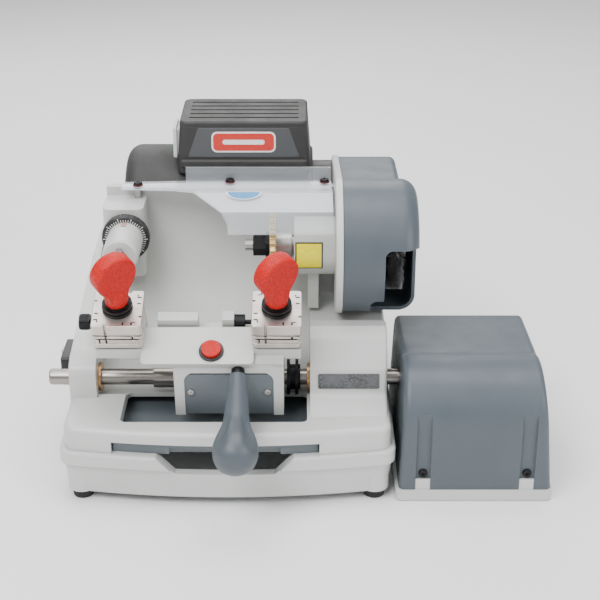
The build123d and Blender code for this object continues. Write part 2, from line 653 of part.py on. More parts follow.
FRONT_PITCH = atan((FRONT_TOP[0] - FRONT_FOOT[0]) / (FRONT_TOP[1] - FRONT_FOOT[1]))
FRONT_PLANE = Plane(
    origin=leaning_point(0, *FRONT_FOOT),
    x_dir=(1, 0, 0),
    z_dir=(0, -cos(radians(LEAN) - FRONT_PITCH), -sin(radians(LEAN) - FRONT_PITCH)),
)
FRONT_BAR_BOTTOM = (FRONT_TOP[1] - 8 - FRONT_FOOT[1]) / cos(FRONT_PITCH) + 0.5
CORNER_SIZE = 9.0


def leg_profile():
    """Side view of one leg: from the table down the front and back to the hub."""
    with BuildSketch() as profile:
        with BuildLine():
            Polyline(
                FRONT_TOP,
                FRONT_FOOT,
                (FRONT_FOOT[0] + FRAME_DEPTH, FRONT_FOOT[1] - 1),
                (-HUB_RADIUS, -3),
                (HUB_RADIUS - 4, 5),
                (13, BEAM_TOP - BEAM_THICKNESS),
                (-36, CLAMP_SEAT - 8.5),
                close=True,
            )
        make_face()
    return profile.sketch


with BuildPart() as carriage_casting:
    # table
    with BuildSketch(carriage_side(TABLE_LEFT)):
        Polygon(*TABLE_PROFILE, align=None)
    extrude(amount=TABLE_RIGHT - TABLE_LEFT)
    table_front = carriage_casting.faces().sort_by(Axis.Y)[0]
    fillet(table_front.edges().filter_by(lambda e: e.length < 12), 4)
    fillet(carriage_casting.faces().sort_by(Axis.Z)[-1].edges(), 1.5)
    # seats for the clamps and the beam between them
    with BuildSketch(CARRIAGE.offset(CLAMP_SEAT)):
        with Locations(*[(clamp_x, CLAMP_BACK) for side, clamp_x in CLAMPS]):
            RectangleRounded(CLAMP_WIDTH - 1, CLAMP_WIDTH - 1, 2)
    extrude(amount=-SEAT_THICKNESS)
    with BuildSketch(CARRIAGE.offset(BEAM_TOP)):
        with Locations(((LEFT_CLAMP_X + RIGHT_CLAMP_X) / 2, -4)):
            Rectangle(CLAMP_SPACING, 36)
    extrude(amount=-BEAM_THICKNESS)
    # raised ledge and post along the back of the table
    with BuildSketch(CARRIAGE.offset(BEAM_TOP)):
        with Locations((-99, 7)):
            Rectangle(34, 10)
        with Locations((RIGHT_CLAMP_X - SET_SCREW_REACH - 14, SET_SCREW_BACK)):
            Rectangle(10, 11)
    extrude(amount=15)
    # legs, hub and top bar of the front frame
    for leg_x in (FRAME_LEFT, FRAME_RIGHT - LEG_WIDTH):
        with BuildSketch(carriage_side(leg_x)):
            add(leg_profile())
        extrude(amount=LEG_WIDTH)
    with BuildSketch(carriage_side(FRAME_LEFT)):
        Circle(HUB_RADIUS)
        Polygon(
            FRONT_TOP,
            (FRONT_TOP[0] - 1.7, FRONT_TOP[1] - 8),
            (FRONT_TOP[0] + FRAME_DEPTH, FRONT_TOP[1] - 8),
            (FRONT_TOP[0] + FRAME_DEPTH + 2, FRONT_TOP[1] + 2),
            (FRONT_TOP[0], FRONT_TOP[1] + 2),
            align=None,
        )
    extrude(amount=FRAME_RIGHT - FRAME_LEFT)
    # round inner corners of the front frame, proud of the plate
    with BuildSketch(FRONT_PLANE):
        for corner_x, turn in ((FRAME_LEFT + LEG_WIDTH, 0), (FRAME_RIGHT - LEG_WIDTH, -90)):
            with Locations(Location((corner_x, FRONT_BAR_BOTTOM, 0), (0, 0, turn))):
                Rectangle(CORNER_SIZE, CORNER_SIZE, align=(Align.MIN, Align.MAX))
        for corner_x in (FRAME_LEFT + LEG_WIDTH + CORNER_SIZE, FRAME_RIGHT - LEG_WIDTH - CORNER_SIZE):
            with Locations((corner_x, FRONT_BAR_BOTTOM - CORNER_SIZE)):
                Circle(CORNER_SIZE, mode=Mode.SUBTRACT)
    extrude(amount=-0.7)
    # bores for the sleeve, clamp pivots, set screws, button and handle
    with BuildSketch(carriage_side(FRAME_LEFT - 1)):
        Circle(SLEEVE_RADIUS)
    extrude(amount=FRAME_RIGHT - FRAME_LEFT + 2, mode=Mode.SUBTRACT)
    for side, clamp_x in CLAMPS:
        with BuildSketch(CARRIAGE.offset(CLAMP_SEAT)):
            with Locations((clamp_x, CLAMP_BACK)):
                Circle(PIVOT_RADIUS + RUNNING_FIT)
        extrude(amount=-PIVOT_DEPTH, mode=Mode.SUBTRACT)
        with BuildSketch(carriage_side(clamp_x - SET_SCREW_REACH)):
            with Locations((SET_SCREW_BACK, SET_SCREW_UP)):
                Circle(SET_SCREW_SHANK)
        extrude(amount=14, mode=Mode.SUBTRACT)
    with BuildSketch(BUTTON_PLANE.offset(1)):
        Circle(BUTTON_RADIUS + 1)
    extrude(amount=-14, mode=Mode.SUBTRACT)
    with BuildSketch(HANDLE_PLANE.offset(4)):
        Circle(STEM_RADIUS)
    extrude(amount=-12, mode=Mode.SUBTRACT)
    with BuildSketch(HANDLE_PLANE.offset(0.6)):
        Circle(FERRULE_RADIUS)
    extrude(amount=12, mode=Mode.SUBTRACT)
carriage_casting.part.label = "carriage_casting"
export_step(carriage_casting.part, "parts/carriage_casting.step")

with BuildPart() as carriage_sleeve:
    with BuildSketch(carriage_side(FRAME_LEFT - 22)):
        Circle(SLEEVE_RADIUS)
        Circle(SHAFT_RADIUS + RUNNING_FIT, mode=Mode.SUBTRACT)
    extrude(amount=FRAME_RIGHT - FRAME_LEFT + 22)
carriage_sleeve.part.label = "carriage_sleeve"
export_step(carriage_sleeve.part, "parts/carriage_sleeve.step")

PLATE_LEFT_X, PLATE_RIGHT_X = FRAME_LEFT + LEG_WIDTH, FRAME_RIGHT - LEG_WIDTH
FRONT_SLOPE = (FRONT_TOP[0] - FRONT_FOOT[0]) / (FRONT_TOP[1] - FRONT_FOOT[1])


def front_line(up, depth):
    """Point behind the sloping front of the legs, at a height in the carriage frame."""
    return (FRONT_FOOT[0] + (up - FRONT_FOOT[1]) * FRONT_SLOPE + depth, up)


plate_lean = radians(LEAN) - atan(FRONT_SLOPE)
PLATE_SCREW_PLANES = [
    Plane(
        origin=leaning_point(screw_x, *front_line(FRONT_TOP[1] * 0.5, 0.8)),
        x_dir=(1, 0, 0),
        z_dir=(0, -cos(plate_lean), -sin(plate_lean)),
    )
    for screw_x in (PLATE_LEFT_X + 5, PLATE_RIGHT_X - 5)
]

with BuildPart() as front_plate:
    with BuildSketch(carriage_side(PLATE_LEFT_X)):
        Polygon(
            front_line(FRONT_TOP[1] - 10, 0.8),
            front_line(FRONT_FOOT[1] + 0.5, 0.8),
            front_line(FRONT_FOOT[1] + 0.5, 3.8),
            front_line(FRONT_TOP[1] - 10, 3.8),
            align=None,
        )
    extrude(amount=PLATE_RIGHT_X - PLATE_LEFT_X)
    for screw_plane in PLATE_SCREW_PLANES:
        with BuildSketch(screw_plane.offset(1)):
            Circle(PLATE_SCREW_RADIUS)
        extrude(amount=-6, mode=Mode.SUBTRACT)
front_plate.part.label = "front_plate"
export_step(front_plate.part, "parts/front_plate.step")

with BuildPart() as plate_screws:
    for screw_plane in PLATE_SCREW_PLANES:
        add(screw(screw_plane, PLATE_SCREW_RADIUS, 2.8, 2.8, 1.6))
plate_screws.part.label = "plate_screws"
export_step(plate_screws.part, "parts/plate_screws.step")

with BuildPart() as clamp_set_screws:
    for side, clamp_x in CLAMPS:
        with BuildSketch(carriage_side(clamp_x - SET_SCREW_REACH)):
            with Locations((SET_SCREW_BACK, SET_SCREW_UP)):
                Circle(SET_SCREW_RADIUS)
        extrude(amount=-9)
        with BuildSketch(carriage_side(clamp_x - SET_SCREW_REACH)):
            with Locations((SET_SCREW_BACK, SET_SCREW_UP)):
                Circle(SET_SCREW_SHANK)
        extrude(amount=14)
        with BuildSketch(carriage_side(clamp_x - SET_SCREW_REACH - 9)):
            with Locations((SET_SCREW_BACK, SET_SCREW_UP)):
                RegularPolygon(3, 6)
        extrude(amount=4, mode=Mode.SUBTRACT)
clamp_set_screws.part.label = "clamp_set_screws"
export_step(clamp_set_screws.part, "parts/clamp_set_screws.step")

# ---------------------------------------------------------------- copy button

with BuildPart() as button_bezel:
    with BuildSketch(BUTTON_PLANE):
        Circle(BEZEL_RADIUS)
    extrude(amount=2.2)
    fillet(button_bezel.edges().group_by(Axis.Z)[-1], 0.8)
    with BuildSketch(BUTTON_PLANE):
        Circle(BUTTON_RADIUS + 1)
    extrude(amount=-13)
    with BuildSketch(BUTTON_PLANE.offset(3)):
        Circle(BUTTON_RADIUS + RUNNING_FIT)
    extrude(amount=-13.5, mode=Mode.SUBTRACT)
button_bezel.part.label = "button_bezel"
export_step(button_bezel.part, "parts/button_bezel.step")

with BuildPart() as button_cap:
    with BuildSketch(BUTTON_PLANE.offset(5.2)):
        Circle(BUTTON_RADIUS)
    extrude(amount=-9)
button_cap.part.label = "button_cap"
export_step(button_cap.part, "parts/button_cap.step")

# ----------------------------------------------------------- operating handle

with BuildPart() as handle_grip:
    grip_plane = Plane(
        origin=HANDLE_PLANE.origin, x_dir=(1, 0, 0), z_dir=HANDLE_PLANE.y_dir * -1
    )
    with BuildSketch(grip_plane):
        with BuildLine():
            Line((0, 6), (6.4, 6))
            Spline(
                (6.4, 6), (8.3, 24), (11.4, 44), (16.0, 62),
                (HANDLE_BALL, HANDLE_LENGTH + 10), (11.5, HANDLE_LENGTH + 25),
                (0, HANDLE_LENGTH + 10 + HANDLE_BALL),
                tangents=((0.03, 1), (-1, 0)),
            )
            Line((0, HANDLE_LENGTH + 10 + HANDLE_BALL), (0, 6))
        make_face()
    revolve(axis=Axis(HANDLE_PLANE.origin, HANDLE_PLANE.z_dir))
    with BuildSketch(HANDLE_PLANE.offset(6)):
        Circle(STEM_RADIUS)
    extrude(amount=27, mode=Mode.SUBTRACT)
handle_grip.part.label = "handle_grip"
export_step(handle_grip.part, "parts/handle_grip.step")

with BuildPart() as handle_stem:
    with BuildSketch(HANDLE_PLANE.offset(-8)):
        Circle(STEM_RADIUS)
    extrude(amount=41)
    with BuildSketch(HANDLE_PLANE.offset(0.6)):
        Circle(FERRULE_RADIUS)
    extrude(amount=5.4)
handle_stem.part.label = "handle_stem"
export_step(handle_stem.part, "parts/handle_stem.step")

# ---------------------------------------------------------------------- clamps

for side, clamp_x in CLAMPS:
    with BuildPart() as lower_jaw:
        with BuildSketch(CARRIAGE.offset(CLAMP_SEAT - PIVOT_DEPTH + 0.5)):
            with Locations((clamp_x, CLAMP_BACK)):
                Circle(PIVOT_RADIUS)
        extrude(amount=PIVOT_DEPTH)
        with BuildSketch(CARRIAGE.offset(CLAMP_SEAT)):
            with Locations((clamp_x, CLAMP_BACK)):
                Circle(CLAMP_WIDTH * 0.4)
        extrude(amount=PEDESTAL_HEIGHT)
        with BuildSketch(CARRIAGE.offset(JAW_SEAT)):
            with Locations((clamp_x, CLAMP_BACK)):
                RectangleRounded(CLAMP_WIDTH, CLAMP_WIDTH, 5)
        extrude(amount=LOWER_JAW)
        # cross slots that register the key shoulder
        with BuildSketch(CARRIAGE.offset(JAW_SEAT + LOWER_JAW)):
            with Locations((clamp_x, CLAMP_BACK)):
                with Locations((-CLAMP_WIDTH * 0.27, 0), (CLAMP_WIDTH * 0.27, 0)):
                    Rectangle(1.6, CLAMP_WIDTH + 1)
                with Locations((0, -CLAMP_WIDTH * 0.27), (0, CLAMP_WIDTH * 0.27)):
                    Rectangle(CLAMP_WIDTH + 1, 1.6)
        extrude(amount=-3, mode=Mode.SUBTRACT)
        with BuildSketch(CARRIAGE.offset(CLAMP_SEAT - PIVOT_DEPTH)):
            with Locations((clamp_x, CLAMP_BACK)):
                Circle(STUD_RADIUS)
        extrude(amount=PIVOT_DEPTH + PEDESTAL_HEIGHT + LOWER_JAW + 1, mode=Mode.SUBTRACT)
    lower_jaw.part.label = side + "_lower_jaw"
    export_step(lower_jaw.part, "parts/" + side + "_lower_jaw.step")

    with BuildPart() as stud:
        with BuildSketch(CARRIAGE.offset(CLAMP_SEAT - PIVOT_DEPTH + 0.5)):
            with Locations((clamp_x, CLAMP_BACK)):
                Circle(STUD_RADIUS)
        extrude(amount=KNOB_SEAT + 16 - CLAMP_SEAT + PIVOT_DEPTH)
    stud.part.label = side + "_clamp_stud"
    export_step(stud.part, "parts/" + side + "_clamp_stud.step")

    with BuildPart() as upper_jaw:
        with BuildSketch(CARRIAGE.offset(UPPER_JAW_SEAT)):
            with Locations((clamp_x, CLAMP_BACK)):
                RectangleRounded(CLAMP_WIDTH, CLAMP_WIDTH, 5)
        extrude(amount=UPPER_JAW)
        chamfer(upper_jaw.faces().sort_by(Axis(CARRIAGE.origin, CARRIAGE.z_dir))[-1].edges(), 1.2)
        # step that divides the jaw nose from its block
        with BuildSketch(CARRIAGE.offset(UPPER_JAW_SEAT + 4.5)):
            with Locations((clamp_x, CLAMP_BACK)):
                Rectangle(CLAMP_WIDTH + 2, CLAMP_WIDTH + 2)
                RectangleRounded(CLAMP_WIDTH - 2.4, CLAMP_WIDTH - 2.4, 4, mode=Mode.SUBTRACT)
        extrude(amount=1.2, mode=Mode.SUBTRACT)
        with BuildSketch(CARRIAGE.offset(UPPER_JAW_SEAT)):
            with Locations((clamp_x, CLAMP_BACK)):
                with Locations((-CLAMP_WIDTH * 0.27, 0), (CLAMP_WIDTH * 0.27, 0)):
                    Rectangle(1.6, CLAMP_WIDTH + 1)
        extrude(amount=4.5, mode=Mode.SUBTRACT)
        with BuildSketch(CARRIAGE.offset(UPPER_JAW_SEAT)):
            with Locations((clamp_x, CLAMP_BACK)):
                Circle(STUD_RADIUS + RUNNING_FIT)
        extrude(amount=UPPER_JAW + 1, mode=Mode.SUBTRACT)
    upper_jaw.part.label = side + "_upper_jaw"
    export_step(upper_jaw.part, "parts/" + side + "_upper_jaw.step")

    with BuildPart() as collar:
        for ring_radius, ring_up, ring_height in (
            (COLLAR_RADIUS, 0, 3), (COLLAR_RADIUS - 1.6, 3, 1), (COLLAR_RADIUS - 0.4, 4, 2.5),
            (COLLAR_RADIUS - 3.4, 6.5, COLLAR_HEIGHT - 6.5),
        ):
            with BuildSketch(CARRIAGE.offset(COLLAR_SEAT + ring_up)):
                with Locations((clamp_x, CLAMP_BACK)):
                    Circle(ring_radius)
                    Circle(STUD_RADIUS + RUNNING_FIT, mode=Mode.SUBTRACT)
            extrude(amount=ring_height)
    collar.part.label = side + "_collar"
    export_step(collar.part, "parts/" + side + "_collar.step")

    knob_side = Plane(
        origin=leaning_point(clamp_x, CLAMP_BACK - KNOB_THICKNESS / 2, KNOB_SEAT),
        x_dir=(1, 0, 0),
        z_dir=(0, -LEAN_COS, -LEAN_SIN),
    )
    with BuildPart() as knob:
        with BuildSketch(knob_side):
            with Locations((0, KNOB_HEIGHT / 2 + 5)):
                Ellipse(KNOB_WIDTH / 2, KNOB_HEIGHT / 2 - 5)
            with Locations((0, 11)):
                Rectangle(16, 16)
        extrude(amount=-KNOB_THICKNESS)
        fillet(
            knob.faces().sort_by(Axis(CARRIAGE.origin, CARRIAGE.y_dir))[0].edges()
            + knob.faces().sort_by(Axis(CARRIAGE.origin, CARRIAGE.y_dir))[-1].edges(),
            3.5,
        )
        with BuildSketch(CARRIAGE.offset(KNOB_SEAT)):
            with Locations((clamp_x, CLAMP_BACK)):
                Circle(8.6)
        extrude(amount=9)
        with BuildSketch(CARRIAGE.offset(KNOB_SEAT)):
            with Locations((clamp_x, CLAMP_BACK)):
                Circle(STUD_RADIUS + RUNNING_FIT)
        extrude(amount=22, mode=Mode.SUBTRACT)
    knob.part.label = side + "_clamp_knob"
    export_step(knob.part, "parts/" + side + "_clamp_knob.step")

# ------------------------------------------------------------ spindle and cutter

CUTTER_LEFT = CUTTER_X - CUTTER_WIDTH / 2
CUTTER_RIGHT = CUTTER_X + CUTTER_WIDTH / 2
SHOULDER_RIGHT = TUBE_LEFT - 2.0
BRUSH_LEFT = BRUSH_X - BRUSH_WIDTH / 2
SPINDLE_END = BRUSH_LEFT + BRUSH_WIDTH + 2


def spindle_disc(x, radius, length):
    """Adds a disc on the spindle axis to the part that is open."""
    with BuildSketch(axis_plane(x, SPINDLE_Y, SPINDLE_Z)) as section:
        Circle(radius)
    return extrude(section.sketch, amount=length, mode=Mode.PRIVATE)


with BuildPart() as spindle_shaft:
    add(spindle_disc(CUTTER_LEFT - 22, 5, 22))
    add(spindle_disc(CUTTER_LEFT - 4, CUTTER_BORE, CUTTER_WIDTH + 4))
    add(spindle_disc(CUTTER_RIGHT, 13, SHOULDER_RIGHT - CUTTER_RIGHT))
    add(spindle_disc(SHOULDER_RIGHT, SPINDLE_RADIUS, SPINDLE_END - SHOULDER_RIGHT))
spindle_shaft.part.label = "spindle_shaft"
export_step(spindle_shaft.part, "parts/spindle_shaft.step")

with BuildPart() as spindle_bearings:
    for bearing_x in (TUBE_LEFT + 1, TUBE_RIGHT - BEARING_WIDTH - 1):
        with BuildSketch(axis_plane(bearing_x, SPINDLE_Y, SPINDLE_Z)):
            Circle(BEARING_RADIUS)
            Circle(SPINDLE_RADIUS + RUNNING_FIT, mode=Mode.SUBTRACT)
        extrude(amount=BEARING_WIDTH)
        for face_x in (bearing_x, bearing_x + BEARING_WIDTH - 0.8):
            with BuildSketch(axis_plane(face_x, SPINDLE_Y, SPINDLE_Z)):
                Circle(17.5)
                Circle(13.5, mode=Mode.SUBTRACT)
            extrude(amount=0.8, mode=Mode.SUBTRACT)
spindle_bearings.part.label = "spindle_bearings"
export_step(spindle_bearings.part, "parts/spindle_bearings.step")

CUTTER_TEETH = 40

with BuildPart() as cutter:
    add(spindle_disc(CUTTER_LEFT, CUTTER_RADIUS - 2.2, CUTTER_WIDTH))
    with BuildSketch(axis_plane(CUTTER_LEFT + 0.4, SPINDLE_Y, SPINDLE_Z)):
        for tooth in range(CUTTER_TEETH):
            with PolarLocations(0, 1, start_angle=360 * tooth / CUTTER_TEETH):
                Polygon(
                    (CUTTER_RADIUS - 3, -2.6), (CUTTER_RADIUS - 3, 2.4),
                    (CUTTER_RADIUS - 0.05, 2.2), (CUTTER_RADIUS - 1.6, -1.4),
                    align=None,
                )
    extrude(amount=CUTTER_WIDTH - 0.8)
    with BuildSketch(axis_plane(CUTTER_LEFT, SPINDLE_Y, SPINDLE_Z)):
        Circle(CUTTER_BORE)
    extrude(amount=CUTTER_WIDTH, mode=Mode.SUBTRACT)
    for face_x, cut in ((CUTTER_LEFT, 0.8), (CUTTER_RIGHT, -0.8)):
        with BuildSketch(axis_plane(face_x, SPINDLE_Y, SPINDLE_Z)):
            Circle(CUTTER_RADIUS - 9)
            Circle(15, mode=Mode.SUBTRACT)
        extrude(amount=cut, mode=Mode.SUBTRACT)
cutter.part.label = "cutter"
export_step(cutter.part, "parts/cutter.step")

with BuildPart() as cutter_nut:
    with BuildSketch(axis_plane(CUTTER_LEFT - 15, SPINDLE_Y, SPINDLE_Z)):
        RegularPolygon(9.2, 6)
    extrude(amount=11)
    add(spindle_disc(CUTTER_LEFT - 4, 11.5, 4))
    with BuildSketch(axis_plane(CUTTER_LEFT - 16, SPINDLE_Y, SPINDLE_Z)):
        Circle(5)
    extrude(amount=17, mode=Mode.SUBTRACT)
    with BuildSketch(axis_plane(CUTTER_LEFT - 4, SPINDLE_Y, SPINDLE_Z)):
        Circle(CUTTER_BORE)
    extrude(amount=5, mode=Mode.SUBTRACT)
cutter_nut.part.label = "cutter_nut"
export_step(cutter_nut.part, "parts/cutter_nut.step")


def pulley(center_y, center_z, radius, bore):
    """Flanged pulley for the flat side of the ribbed belt."""
    with BuildPart() as wheel:
        with BuildSketch(axis_plane(PULLEY_X - PULLEY_WIDTH / 2, center_y, center_z)):
            Circle(radius)
        extrude(amount=PULLEY_WIDTH)
        for flange_x in (PULLEY_X - PULLEY_WIDTH / 2, PULLEY_X + PULLEY_WIDTH / 2 - 1.5):
            with BuildSketch(axis_plane(flange_x, center_y, center_z)):
                Circle(radius + 2)
            extrude(amount=1.5)
        with BuildSketch(axis_plane(PULLEY_X - PULLEY_WIDTH / 2, center_y, center_z)):
            Circle(bore)
        extrude(amount=PULLEY_WIDTH, mode=Mode.SUBTRACT)
    return wheel.part


with BuildPart() as spindle_pulley:
    add(pulley(SPINDLE_Y, SPINDLE_Z, SPINDLE_PULLEY_RADIUS, SPINDLE_RADIUS))
spindle_pulley.part.label = "spindle_pulley"
export_step(spindle_pulley.part, "parts/spindle_pulley.step")

with BuildPart() as brush_wheel:
    add(spindle_disc(BRUSH_LEFT, BRUSH_RADIUS, BRUSH_WIDTH))
    for face_x, cut in ((BRUSH_LEFT, 3), (BRUSH_LEFT + BRUSH_WIDTH, -3)):
        with BuildSketch(axis_plane(face_x, SPINDLE_Y, SPINDLE_Z)):
            Circle(BRUSH_RADIUS - 14)
        extrude(amount=cut, mode=Mode.SUBTRACT)
    add(spindle_disc(BRUSH_LEFT, 16, BRUSH_WIDTH))
    with BuildSketch(axis_plane(BRUSH_LEFT, SPINDLE_Y, SPINDLE_Z)):
        Circle(SPINDLE_RADIUS)
    extrude(amount=BRUSH_WIDTH, mode=Mode.SUBTRACT)
brush_wheel.part.label = "brush_wheel"
export_step(brush_wheel.part, "parts/brush_wheel.step")

# ---------------------------------------------------------------------- tracer

TRACER_PLANE = Plane(origin=(TRACER_X, 0, SPINDLE_Z), x_dir=(1, 0, 0), z_dir=(0, 1, 0))
BARREL_BACK = 58.0
STYLUS_RADIUS = 6.0

with BuildPart() as tracer_barrel:
    with BuildSketch(TRACER_PLANE.offset(BARREL_FRONT)):
        Circle(BARREL_RADIUS)
    extrude(amount=BARREL_BACK - BARREL_FRONT)
    chamfer(tracer_barrel.edges().sort_by(Axis.Y)[0], 1.5)
    with BuildSketch(TRACER_PLANE.offset(BARREL_FRONT)):
        Circle(STYLUS_RADIUS + RUNNING_FIT)
    extrude(amount=BARREL_BACK - BARREL_FRONT - 10, mode=Mode.SUBTRACT)
tracer_barrel.part.label = "tracer_barrel"
export_step(tracer_barrel.part, "parts/tracer_barrel.step")

with BuildPart() as dial_ring:
    with BuildSketch(TRACER_PLANE.offset(DIAL_FRONT)):
        Circle(DIAL_RADIUS)
    extrude(amount=DIAL_WIDTH)
    chamfer(dial_ring.edges().sort_by(Axis.Y)[0], 2.4)
    with BuildSketch(TRACER_PLANE.offset(DIAL_FRONT)):
        Circle(BARREL_RADIUS + RUNNING_FIT)
    extrude(amount=DIAL_WIDTH, mode=Mode.SUBTRACT)
dial_ring.part.label = "dial_ring"
export_step(dial_ring.part, "parts/dial_ring.step")

with BuildPart() as tracer_stylus:
    with BuildSketch(TRACER_PLANE.offset(BARREL_FRONT - 1.5)):
        Circle(STYLUS_RADIUS)
    extrude(amount=BARREL_BACK - BARREL_FRONT - 14)
    with BuildSketch(axis_plane(TRACER_X - CUTTER_WIDTH / 2, SPINDLE_Y, SPINDLE_Z)):
        Circle(CUTTER_RADIUS)
        with Locations(((BARREL_FRONT - 1.5 - SPINDLE_Y - CUTTER_RADIUS) / 2, -8)):
            Rectangle(
                BARREL_FRONT - 1.5 - SPINDLE_Y + CUTTER_RADIUS, 34, mode=Mode.INTERSECT
            )
    extrude(amount=CUTTER_WIDTH)
tracer_stylus.part.label = "tracer_stylus"
export_step(tracer_stylus.part, "parts/tracer_stylus.step")

# ----------------------------------------------------------------------- motor


def motor_disc(x, radius, length):
    """Disc on the motor axis, to be added or cut where it is needed."""
    with BuildSketch(axis_plane(x, MOTOR_Y, MOTOR_Z)) as section:
        Circle(radius)
    return extrude(section.sketch, amount=length, mode=Mode.PRIVATE)


MOTOR_SHAFT_RADIUS = 7.0
ROTOR_RADIUS = 31.0
AIR_GAP = 0.6

with BuildPart() as motor_frame:
    add(motor_disc(MOTOR_LEFT, MOTOR_RADIUS, BELL_LEFT - MOTOR_LEFT))
    fillet(motor_frame.edges().sort_by(Axis.X)[-1], 4)
    add(motor_disc(BELL_LEFT, BELL_RADIUS, MOTOR_RIGHT - BELL_LEFT))
    with BuildSketch(Plane.XY.offset(PLATFORM_TOP)):
        with Locations(((MOTOR_LEFT + MOTOR_RIGHT) / 2, MOTOR_Y - 6)):
            RectangleRounded(96, 56, 4)
    extrude(amount=30)
    add(motor_disc(MOTOR_LEFT + 6, MOTOR_RADIUS - 6, BELL_LEFT - MOTOR_LEFT - 12), mode=Mode.SUBTRACT)
    add(motor_disc(BELL_LEFT - 7, BELL_RADIUS - 6, MOTOR_RIGHT - BELL_LEFT + 1), mode=Mode.SUBTRACT)
    add(
        motor_disc(MOTOR_LEFT, MOTOR_SHAFT_RADIUS + RUNNING_FIT, MOTOR_RIGHT - MOTOR_LEFT),
        mode=Mode.SUBTRACT,
    )
motor_frame.part.label = "motor_frame"
export_step(motor_frame.part, "parts/motor_frame.step")

with BuildPart() as motor_stator:
    add(motor_disc(MOTOR_LEFT + 24, MOTOR_RADIUS - 6, 78))
    add(motor_disc(MOTOR_LEFT + 24, ROTOR_RADIUS + AIR_GAP, 78), mode=Mode.SUBTRACT)
motor_stator.part.label = "motor_stator"
export_step(motor_stator.part, "parts/motor_stator.step")

with BuildPart() as motor_rotor:
    add(motor_disc(COWL_LEFT + 12, MOTOR_SHAFT_RADIUS, PULLEY_X + PULLEY_WIDTH / 2 - COWL_LEFT - 12))
    add(motor_disc(MOTOR_LEFT + 24, ROTOR_RADIUS, 78))
motor_rotor.part.label = "motor_rotor"
export_step(motor_rotor.part, "parts/motor_rotor.step")

with BuildPart() as motor_fan:
    add(motor_disc(COWL_LEFT + 14, 14, 22))
    with BuildSketch(axis_plane(COWL_LEFT + 14, MOTOR_Y, MOTOR_Z)):
        with PolarLocations(29, 8):
            Rectangle(34, 2.4)
    extrude(amount=20)
    add(motor_disc(COWL_LEFT + 14, MOTOR_SHAFT_RADIUS, 22), mode=Mode.SUBTRACT)
motor_fan.part.label = "motor_fan"
export_step(motor_fan.part, "parts/motor_fan.step")

with BuildPart() as motor_pulley:
    add(pulley(MOTOR_Y, MOTOR_Z, MOTOR_PULLEY_RADIUS, MOTOR_SHAFT_RADIUS))
motor_pulley.part.label = "motor_pulley"
export_step(motor_pulley.part, "parts/motor_pulley.step")

with BuildPart() as fan_cowl:
    add(motor_disc(COWL_LEFT, MOTOR_RADIUS + 1, MOTOR_LEFT - COWL_LEFT))
    fillet(fan_cowl.edges().sort_by(Axis.X)[0], 14)
    add(motor_disc(COWL_LEFT + 3, MOTOR_RADIUS - 12, MOTOR_LEFT - COWL_LEFT), mode=Mode.SUBTRACT)
    add(motor_disc(COWL_LEFT + 14, MOTOR_RADIUS - 1.5, MOTOR_LEFT - COWL_LEFT), mode=Mode.SUBTRACT)
    with BuildSketch(axis_plane(COWL_LEFT - 1, MOTOR_Y, MOTOR_Z)):
        for vent_radius, vent_count in ((14, 6), (24, 10), (34, 16)):
            with PolarLocations(vent_radius, vent_count):
                SlotOverall(8, 4)
    extrude(amount=6, mode=Mode.SUBTRACT)
fan_cowl.part.label = "fan_cowl"
export_step(fan_cowl.part, "parts/fan_cowl.step")

# -------------------------------------------------------- belt and its cover

BELT_FRONT_RADIUS = SPINDLE_PULLEY_RADIUS + BELT_GAP
BELT_REAR_RADIUS = MOTOR_PULLEY_RADIUS + BELT_GAP

with BuildPart() as drive_belt:
    with BuildSketch(Plane.YZ.offset(PULLEY_X - BELT_WIDTH / 2)):
        add(two_circle_hull(BELT_FRONT_RADIUS + BELT_THICKNESS, BELT_REAR_RADIUS + BELT_THICKNESS))
        add(two_circle_hull(BELT_FRONT_RADIUS, BELT_REAR_RADIUS), mode=Mode.SUBTRACT)
    extrude(amount=BELT_WIDTH)
drive_belt.part.label = "drive_belt"
export_step(drive_belt.part, "parts/drive_belt.step")

with BuildPart() as cover_flange:
    with BuildSketch(Plane.YZ.offset(FLANGE_LEFT)):
        add(two_circle_hull(FLANGE_RADIUS, REAR_COVER_RADIUS + 1.5))
    extrude(amount=FLANGE_THICKNESS)
    add(spindle_disc(FLANGE_LEFT, SPINDLE_RADIUS + 2, FLANGE_THICKNESS), mode=Mode.SUBTRACT)
    add(motor_disc(FLANGE_LEFT, MOTOR_SHAFT_RADIUS + 2, FLANGE_THICKNESS), mode=Mode.SUBTRACT)
    fillet(cover_flange.edges().group_by(Axis.X)[0].sort_by(SortBy.LENGTH)[-4:], 2)
cover_flange.part.label = "cover_flange"
export_step(cover_flange.part, "parts/cover_flange.step")

COVER_LEFT = FLANGE_LEFT + FLANGE_THICKNESS


def cover_solid(inset):
    """The belt cover as a full body, or the space inside it for a positive inset."""
    start = COVER_LEFT if inset == 0 else COVER_LEFT - 1
    with BuildPart() as drum:
        with BuildSketch(Plane.YZ.offset(start)):
            add(two_circle_hull(COVER_RADIUS - 15 - inset, REAR_COVER_RADIUS - inset))
        extrude(amount=REAR_COVER_RIGHT - inset - start)
        fillet(drum.edges().group_by(Axis.X)[-1], 6 - inset)
        with BuildSketch(axis_plane(start, SPINDLE_Y, SPINDLE_Z)) as section:
            Circle(COVER_RADIUS - inset)
        extrude(amount=COVER_RIGHT - inset - start)
        fillet(drum.edges().group_by(Axis.X)[-1], 14 - inset)
    return drum.part


